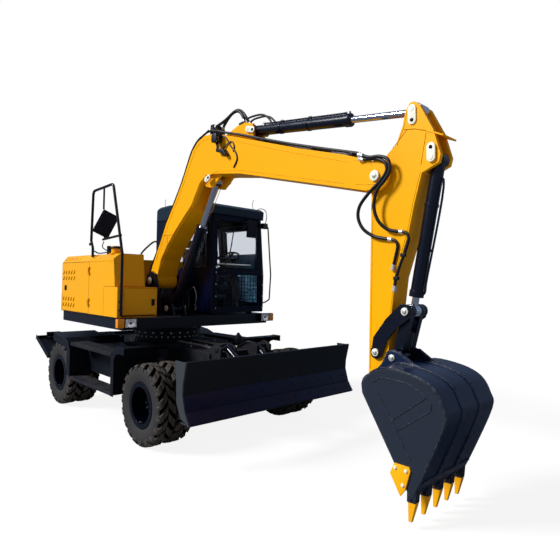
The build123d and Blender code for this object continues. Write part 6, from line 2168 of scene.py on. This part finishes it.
    def cylinders(self) -> None:
        """Steel lines, ports and bands on the two cylinders."""
        at, mid = self.places.at, self.middle
        for body, foot, eye, radius, reach in (
                ("boom_cylinder_barrel", (0.20, 1.38), (1.08, 2.96), 0.062, 1.200),
                ("arm_cylinder_barrel", (1.75, 3.42), (3.80, 3.14), 0.055, 1.370)):
            start = at(foot[0], mid, foot[1])
            way = (at(eye[0], mid, eye[1]) - start).normalized()
            up = way.cross(Vector((0, -1, 0)))
            if up.z < 0 or body.startswith("boom"):
                up = -up
            line, ends, rings = Shape(), Shape(), Shape()
            out = up * (radius + 0.013)
            line.tube([start + way * 0.16 + up * radius * 0.9, start + way * 0.18 + out,
                       start + way * 0.26 + out, start + way * (reach - 0.12) + out,
                       start + way * (reach - 0.05) + out, start + way * (reach - 0.03) + up * radius], 0.009,
                      8)
            for along in (0.16, reach - 0.03):
                ends.lathe([(0, 0), (0, 0.017), (0.026, 0.017), (0.030, 0.012), (0.030, 0)],
                           start + way * along + up * (radius - 0.004), up, 12)
            for along in (0.45, 0.85):
                rings.lathe([(-0.012, radius), (-0.012, radius + 0.005), (0.012, radius + 0.005),
                             (0.012, radius)], start + way * along, way, 32, loop=True)
                rings.block(start + way * along + out - Vector((0.014, 0.016, 0.014)),
                            start + way * along + out + Vector((0.014, 0.016, 0.014)), 0.003)
            line.settle(f"{body}_line", body, Palette.cylinder)
            ends.settle(f"{body}_ports", body, Palette.zinc)
            rings.settle(f"{body}_bands", body, Palette.cylinder)


@dataclass
class Arm(Linkage):
    """The arm's welds, caps, hoses and fittings, with the bucket's linkage."""

    loops: tuple[tuple[Triple, ...], ...] = (
        ((3.360, -0.335, 2.832), (3.455, -0.338, 2.800), (3.544, -0.340, 2.792), (3.628, -0.340, 2.754),
         (3.650, -0.340, 2.663), (3.611, -0.340, 2.599), (3.529, -0.338, 2.513), (3.500, -0.334, 2.392),
         (3.534, -0.325, 2.273), (3.609, -0.300, 2.197), (3.700, -0.283, 2.172)),
        ((3.360, -0.322, 2.800), (3.440, -0.325, 2.790), (3.522, -0.327, 2.775), (3.595, -0.327, 2.735),
         (3.612, -0.327, 2.668), (3.559, -0.327, 2.598), (3.432, -0.327, 2.498), (3.345, -0.325, 2.400),
         (3.330, -0.320, 2.311), (3.375, -0.310, 2.215), (3.470, -0.290, 2.149), (3.600, -0.281, 2.118)))
    half: float = 0.100

    def build(self) -> None:
        """Dress the arm and its linkage and add their fittings."""
        nodes, near, far = self.places.nodes, self.middle - self.half, self.middle + self.half
        Palette.yellow.dress(nodes["arm"])
        Palette.cylinder.dress(nodes["bucket_cylinder_barrel"], nodes["rockers"], nodes["bucket_link"])
        Palette.chrome.dress(nodes["bucket_cylinder_rod"])
        self.seams("arm_welds", "arm", [[(3.44, 1.05), (3.437, 2.50), (3.455, 2.585)],
                                        [(3.59, 1.10), (3.628, 1.54), (3.655, 1.80), (3.715, 2.00),
                                         (3.765, 2.155), (3.815, 2.395), (3.875, 2.63)],
                                        [(3.66, 2.875), (3.722, 3.015), (3.748, 3.135)]], (near, far),
                   Palette.yellow)
        # Darker lines where the arm's plates meet: painted shadow lines.
        self.seams("arm_joints", "arm", [[(3.749, 2.99), (3.827, 2.977), (3.93, 2.935)],
                                         [(3.921, 2.925), (3.88, 2.68)], [(3.621, 2.858), (3.749, 2.981)]],
                   (near - 0.0005, far + 0.0005), Palette.shade_yellow, 0.002)
        self.caps("arm_pin_caps", "arm", [(3.795, 3.138, 0.100, 0.036, 0.004, -0.088),
                                          (3.974, 2.724, 0.110, 0.036, -0.002, 0.078),
                                          (3.510, 1.190, 0.130, 0.032)], Palette.cap)
        self.caps("bucket_pin_caps", "bucket", [(3.515, 0.975, 0.172, 0.034), (3.690, 1.170, 0.160, 0.027)],
                  Palette.cap)
        self.caps("rocker_pin_caps", "rockers", [(3.780, 1.540, 0.130, 0.031)], Palette.cap)
        ridge = Shape()
        ridge.slab(self.places.flat([(3.922, 2.950), (4.068, 2.884), (4.062, 2.872), (3.916, 2.938)]),
                   near - 0.005, far + 0.005, 0.002)
        for face, out in ((near, -0.006), (far, 0.006)):
            ridge.slab(self.places.flat([(3.725, 3.000), (3.83, 2.984), (3.922, 2.950), (3.918, 2.940),
                                         (3.826, 2.974), (3.719, 2.991)]), face - out * 0.2, face + out,
                       0.001)
        ridge.settle("arm_ridge", "arm", Palette.yellow)
        self.lines()

    def lines(self) -> None:
        """The hanging hoses at the arm's top, the pipes down its side and the bucket cylinder's line."""
        at, side = self.places.at, self.middle - 0.112
        loops = Shape()
        for points in self.loops:
            loops.tube(self.places.line(points), 0.0145, 12)
        piece = loops.piece("arm_loop_hoses", Palette.hose)
        tuple(at(3.50, -0.33, 2.72))
        tuple(at(3.55, -0.30, 2.22))
        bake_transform(piece)
        self.hoses("arm_pipes", "arm", [(side, [(3.70, 2.172), (3.765, 2.162), (3.79, 2.120), (3.775, 2.05),
                                                (3.715, 1.90), (3.678, 1.78), (3.668, 1.705)]),
                                        (side, [(3.600, 2.118), (3.665, 2.105), (3.690, 2.065), (3.680, 2.0),
                                                (3.655, 1.90)])], 0.0125, Palette.hose)
        ends = Shape()
        for x, z, dx, dz in ((3.690, 2.176, 1, -0.15), (3.592, 2.120, 1, -0.15), (3.655, 1.91, -0.1, -1),
                             (3.670, 1.740, -0.05, -1)):
            ends.lathe([(0, 0), (0, 0.018), (0.045, 0.018), (0.050, 0.013), (0.050, 0)], at(x, side, z),
                       (dx, 0, dz), 12)
        ends.settle("arm_hose_ends", "arm", Palette.zinc)
        ends = Shape()
        for points in self.loops:
            ends.lathe([(0, 0), (0, 0.020), (0.05, 0.020), (0.055, 0.015), (0.055, 0)],
                       at(*points[0]) - Vector((0.03, 0, -0.012)), (1, 0, -0.35), 12)
        ends.block(at(3.33, -0.345, 2.79), at(3.352, -0.309, 2.86), 0.003)
        ends.settle("boom_loop_ends", "boom", Palette.zinc)
        clip = Shape()
        for x, z in ((3.745, 1.985), (3.685, 1.80)):
            clip.block(at(x - 0.022, self.middle - 0.128, z - 0.014),
                       at(x + 0.022, self.middle - 0.099, z + 0.014), 0.004)
        clip.settle("arm_clips", "arm", Palette.plastic)
        foot, eye = at(3.98, self.middle, 2.72), at(3.78, self.middle, 1.54)
        way = (eye - foot).normalized()
        out = Vector((way.z, 0, -way.x)) * -1
        line = Shape().tube([foot + way * 0.13 + out * 0.045, foot + way * 0.15 + out * 0.066,
                             foot + way * 0.95 + out * 0.066, foot + way * 1.04 + out * 0.066,
                             foot + way * 1.05 + out * 0.045], 0.009, 8)
        for along in (0.35, 0.70):
            line.lathe([(-0.012, 0.052), (-0.012, 0.057), (0.012, 0.057), (0.012, 0.052)], foot + way * along,
                       way, 32, loop=True)
        line.settle("bucket_cylinder_line", "bucket_cylinder_barrel", Palette.cylinder)


@dataclass
class Bucket(Linkage):
    """The bucket's side cutters, wear bands, edge welds and tooth adapters."""

    shell: tuple[Pair, ...] = ((4.026, 0.240), (4.110, 0.420), (4.262, 0.800), (4.248, 0.920), (4.170, 1.040),
                               (4.010, 1.106), (3.760, 1.130), (3.630, 1.066))
    cutter: tuple[Pair, ...] = ((3.875, 0.451), (4.000, 0.451), (4.010, 0.429), (3.969, 0.279),
                                (3.930, 0.225), (3.840, 0.370))
    half: float = 0.380
    plate_thick: float = 0.008
    plate_thin: float = 0.004
    plate_rear: float = 4.2
    teeth: int = 5
    tooth_from: float = -0.350
    tooth_pitch: float = 0.175

    def build(self) -> None:
        """Dress the bucket and add what wears on it."""
        Palette.shell.dress(self.places.nodes["bucket"])
        Palette.tooth.dress(self.places.nodes["bucket_teeth"])
        self.welds()
        self.wear()
        self.adapters()

    @property
    def sides(self) -> Pair:
        """Where the bucket's two flanks lie."""
        return self.middle - self.half, self.middle + self.half

    def welds(self) -> None:
        """Welds round the flanks, along the shell and the ears."""
        curve = eased(self.shell)
        self.seams("bucket_welds", "bucket", [[(x - 0.010, z - 0.008) for x, z in curve[1:-1]],
                                              [(3.843, 0.752), (4.11, 0.96)],
                                              [(3.70, 0.945), (3.854, 0.728), (4.0, 0.50)],
                                              [(3.665, 1.0), (3.73, 1.046), (3.805, 1.049), (3.969, 1.04),
                                               (4.105, 0.978), (4.157, 0.92), (4.153, 0.878),
                                               (3.891, 0.688)]], self.sides, Palette.bucket, 0.005)

    def wear(self) -> None:
        """Side cutters with their bolts, wear plates over the shell and the bead along its lip."""
        at, sides, curve = self.places.at, self.sides, eased(self.shell)
        plates, bolts, cutters = Shape(), Shape(), Shape()
        for side, face in zip((-1, 1), sides):
            cutters.slab(self.places.flat(self.cutter), face, face + side * 0.014, 0.003)
            for x, z in ((3.886, 0.420), (3.975, 0.418), (3.950, 0.310)):
                bolts.hexagon(at(x, face + side * 0.014, z), (0, side, 0), 0.020, 0.010)
        for y in (self.middle - 0.135, self.middle + 0.135):
            for (x0, z0), (x1, z1) in zip(curve[3:-3], curve[4:-2]):
                one, two = at(x0, y, z0), at(x1, y, z1)
                thick = self.plate_thick if max(x0, x1) < self.plate_rear else self.plate_thin
                out = Vector((two.z - one.z, 0, one.x - two.x)).normalized() * thick
                plates.plate([one + Vector((0, -0.03, 0)), two + Vector((0, -0.03, 0)),
                              two + Vector((0, 0.03, 0)), one + Vector((0, 0.03, 0))], out)
        lip = curve[3]
        plates.tube([at(lip[0] + 0.003, sides[0] + 0.02, lip[1]),
                     at(lip[0] + 0.003, sides[1] - 0.02, lip[1])], 0.007, 8, smooth=False)
        plates.settle("bucket_wear_plates", "bucket", Palette.shell)
        cutters.settle("side_cutters", "bucket", Palette.tooth)
        bolts.settle("bucket_bolts", "bucket", Palette.cap)

    def adapters(self) -> None:
        """The teeth's adapters and the pins through them."""
        at, first = self.places.at, self.middle + self.tooth_from
        adapter = Shape().slab([(-0.020, -0.035), (0.052, -0.030), (0.058, 0.05), (0.046, 0.115),
                                (0.012, 0.115), (-0.020, 0.04)], -0.028, 0.028, 0.006)
        made = in_line(adapter, "tooth_adapters", Palette.bucket, at(3.994, first, 0.232), self.teeth,
                       (0, self.tooth_pitch, 0))
        settle(made, "bucket", Palette.bucket)
        pin = Shape()
        for side in (-1, 1):
            pin.lathe([(0, 0.006), (0, 0.011), (0.003, 0.010), (0.003, 0.006)], Vector((0, side * 0.0275, 0)),
                      (0, side, 0), 12, loop=True)
            pin.lathe(drum(0.006, 0.001), Vector((0, side * 0.0275, 0)), (0, side, 0), 12)
        pins = in_line(pin, "tooth_pins", Palette.seal, at(4.014, first, 0.222), self.teeth,
                       (0, self.tooth_pitch, 0))
        settle(pins, "bucket", Palette.seal)


# ------------------------------------------------------------------ studio
@dataclass
class Studio:
    """A pale floor, a broad soft light, a plain white surround and the camera."""

    eye: Triple = (4.797, -3.611, 1.741)
    right: Triple = (0.69497, 0.71873, 0.02079)
    upward: Triple = (-0.00476, -0.02432, 0.99969)
    ahead: Triple = (-0.71902, 0.69486, 0.01348)
    lens: float = 31.08
    shift: Pair = (-0.0066, -0.0057)
    light_from: Triple = (-0.45, -0.75, 0.62)
    light_power: float = 3.75
    light_angle: float = 16.0
    ambient: float = 0.17
    sheen: Colour = (0.16, 0.21, 0.32, 1.0)
    floor_glow: float = 0.88
    floor_shade: float = 0.15
    floor_reach: float = 60.0
    floor_height: float = -0.002
    floor_bounce: Colour = (0.42, 0.42, 0.42, 1.0)
    floor_mirrored: Colour = (0.13, 0.16, 0.22, 1.0)
    sensor: float = 36.0
    far: float = 200.0

    def build(self) -> None:
        """Set up the surround, floor, light and camera."""
        self.world()
        self.floor()
        self.sun()
        self.camera()
        bpy.context.scene.view_settings.view_transform = "Standard"
        bpy.context.scene.view_settings.look = "None"

    def world(self) -> None:
        """White where it is seen or mirrored, and soft and dimmer where it lights."""
        world = bpy.data.worlds.new("surround")
        bpy.context.scene.world = world
        world.use_nodes = True
        t = Tree(world.node_tree)
        world.node_tree.nodes.clear()
        rays = t.add("ShaderNodeLightPath").outputs
        seen = t.math("MAXIMUM", rays["Is Camera Ray"], rays["Is Transmission Ray"])
        lit = t.mix(rays["Is Glossy Ray"], (self.ambient,) * 3 + (1.0,), self.sheen)
        light = t.add("ShaderNodeBackground")
        t.feed(light.inputs["Color"], t.mix(seen, lit, WHITE))
        t.feed(t.add("ShaderNodeOutputWorld").inputs["Surface"], light.outputs[0])

    def floor(self) -> None:
        """A wide plain floor that only shows a soft shadow."""
        mesh = bpy.data.meshes.new("studio_floor")
        corners = [(x * self.floor_reach, y * self.floor_reach, self.floor_height) for x, y in CORNERS]
        mesh.from_pydata(corners, [], [(0, 1, 2, 3)])
        floor = bpy.data.objects.new("studio_floor", mesh)
        bpy.context.scene.collection.objects.link(floor)
        material = bpy.data.materials.new("studio_floor")
        material.use_nodes = True
        t = Tree(material.node_tree)
        material.node_tree.nodes.clear()
        rays = t.add("ShaderNodeLightPath").outputs
        seen = rays["Is Camera Ray"]
        paint, glow = t.add("ShaderNodeBsdfDiffuse"), t.add("ShaderNodeEmission")
        both = t.add("ShaderNodeAddShader")
        unseen = t.mix(rays["Is Glossy Ray"], self.floor_bounce, self.floor_mirrored)
        t.feed(paint.inputs["Color"], t.mix(seen, unseen, (self.floor_shade,) * 3 + (1.0,)))
        t.feed(glow.inputs["Strength"], t.math("MULTIPLY", seen, self.floor_glow))
        t.feed(both.inputs[0], paint.outputs[0])
        t.feed(both.inputs[1], glow.outputs[0])
        t.feed(t.add("ShaderNodeOutputMaterial").inputs["Surface"], both.outputs[0])
        mesh.materials.append(material)

    def sun(self) -> None:
        """One broad light from the right, behind and above."""
        lamp = bpy.data.lights.new("soft_key", "SUN")
        lamp.energy, lamp.angle = self.light_power, math.radians(self.light_angle)
        key = bpy.data.objects.new("soft_key", lamp)
        key.rotation_mode = "QUATERNION"
        key.rotation_quaternion = Vector(self.light_from).to_track_quat("Z", "Y")
        bpy.context.scene.collection.objects.link(key)

    def camera(self) -> None:
        """The camera at the angle the machine is shown from."""
        data = bpy.data.cameras.new("view")
        data.lens, data.sensor_width = self.lens, self.sensor
        data.shift_x, data.shift_y = self.shift
        data.clip_end = self.far
        camera = bpy.data.objects.new("view", data)
        turn = Matrix((self.right, self.upward, tuple(-a for a in self.ahead))).transposed()
        camera.matrix_world = Matrix.Translation(self.eye) @ turn.to_4x4()
        bpy.context.scene.collection.objects.link(camera)
        bpy.context.scene.camera = camera


def main() -> None:
    """Dress the whole machine and set up the studio."""
    logging.basicConfig(level=logging.INFO, format="%(name)s: %(message)s")
    places = Places.read()
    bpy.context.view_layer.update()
    for corner in ("front_left", "front_right", "rear_left", "rear_right"):
        Wheel(places, corner).build()
    for assembly in (Undercarriage, Blade, UpperBody, Cab, Boom, Arm, Bucket):
        assembly(places).build()
    Studio().build()


if __name__ == "__main__":
    main()
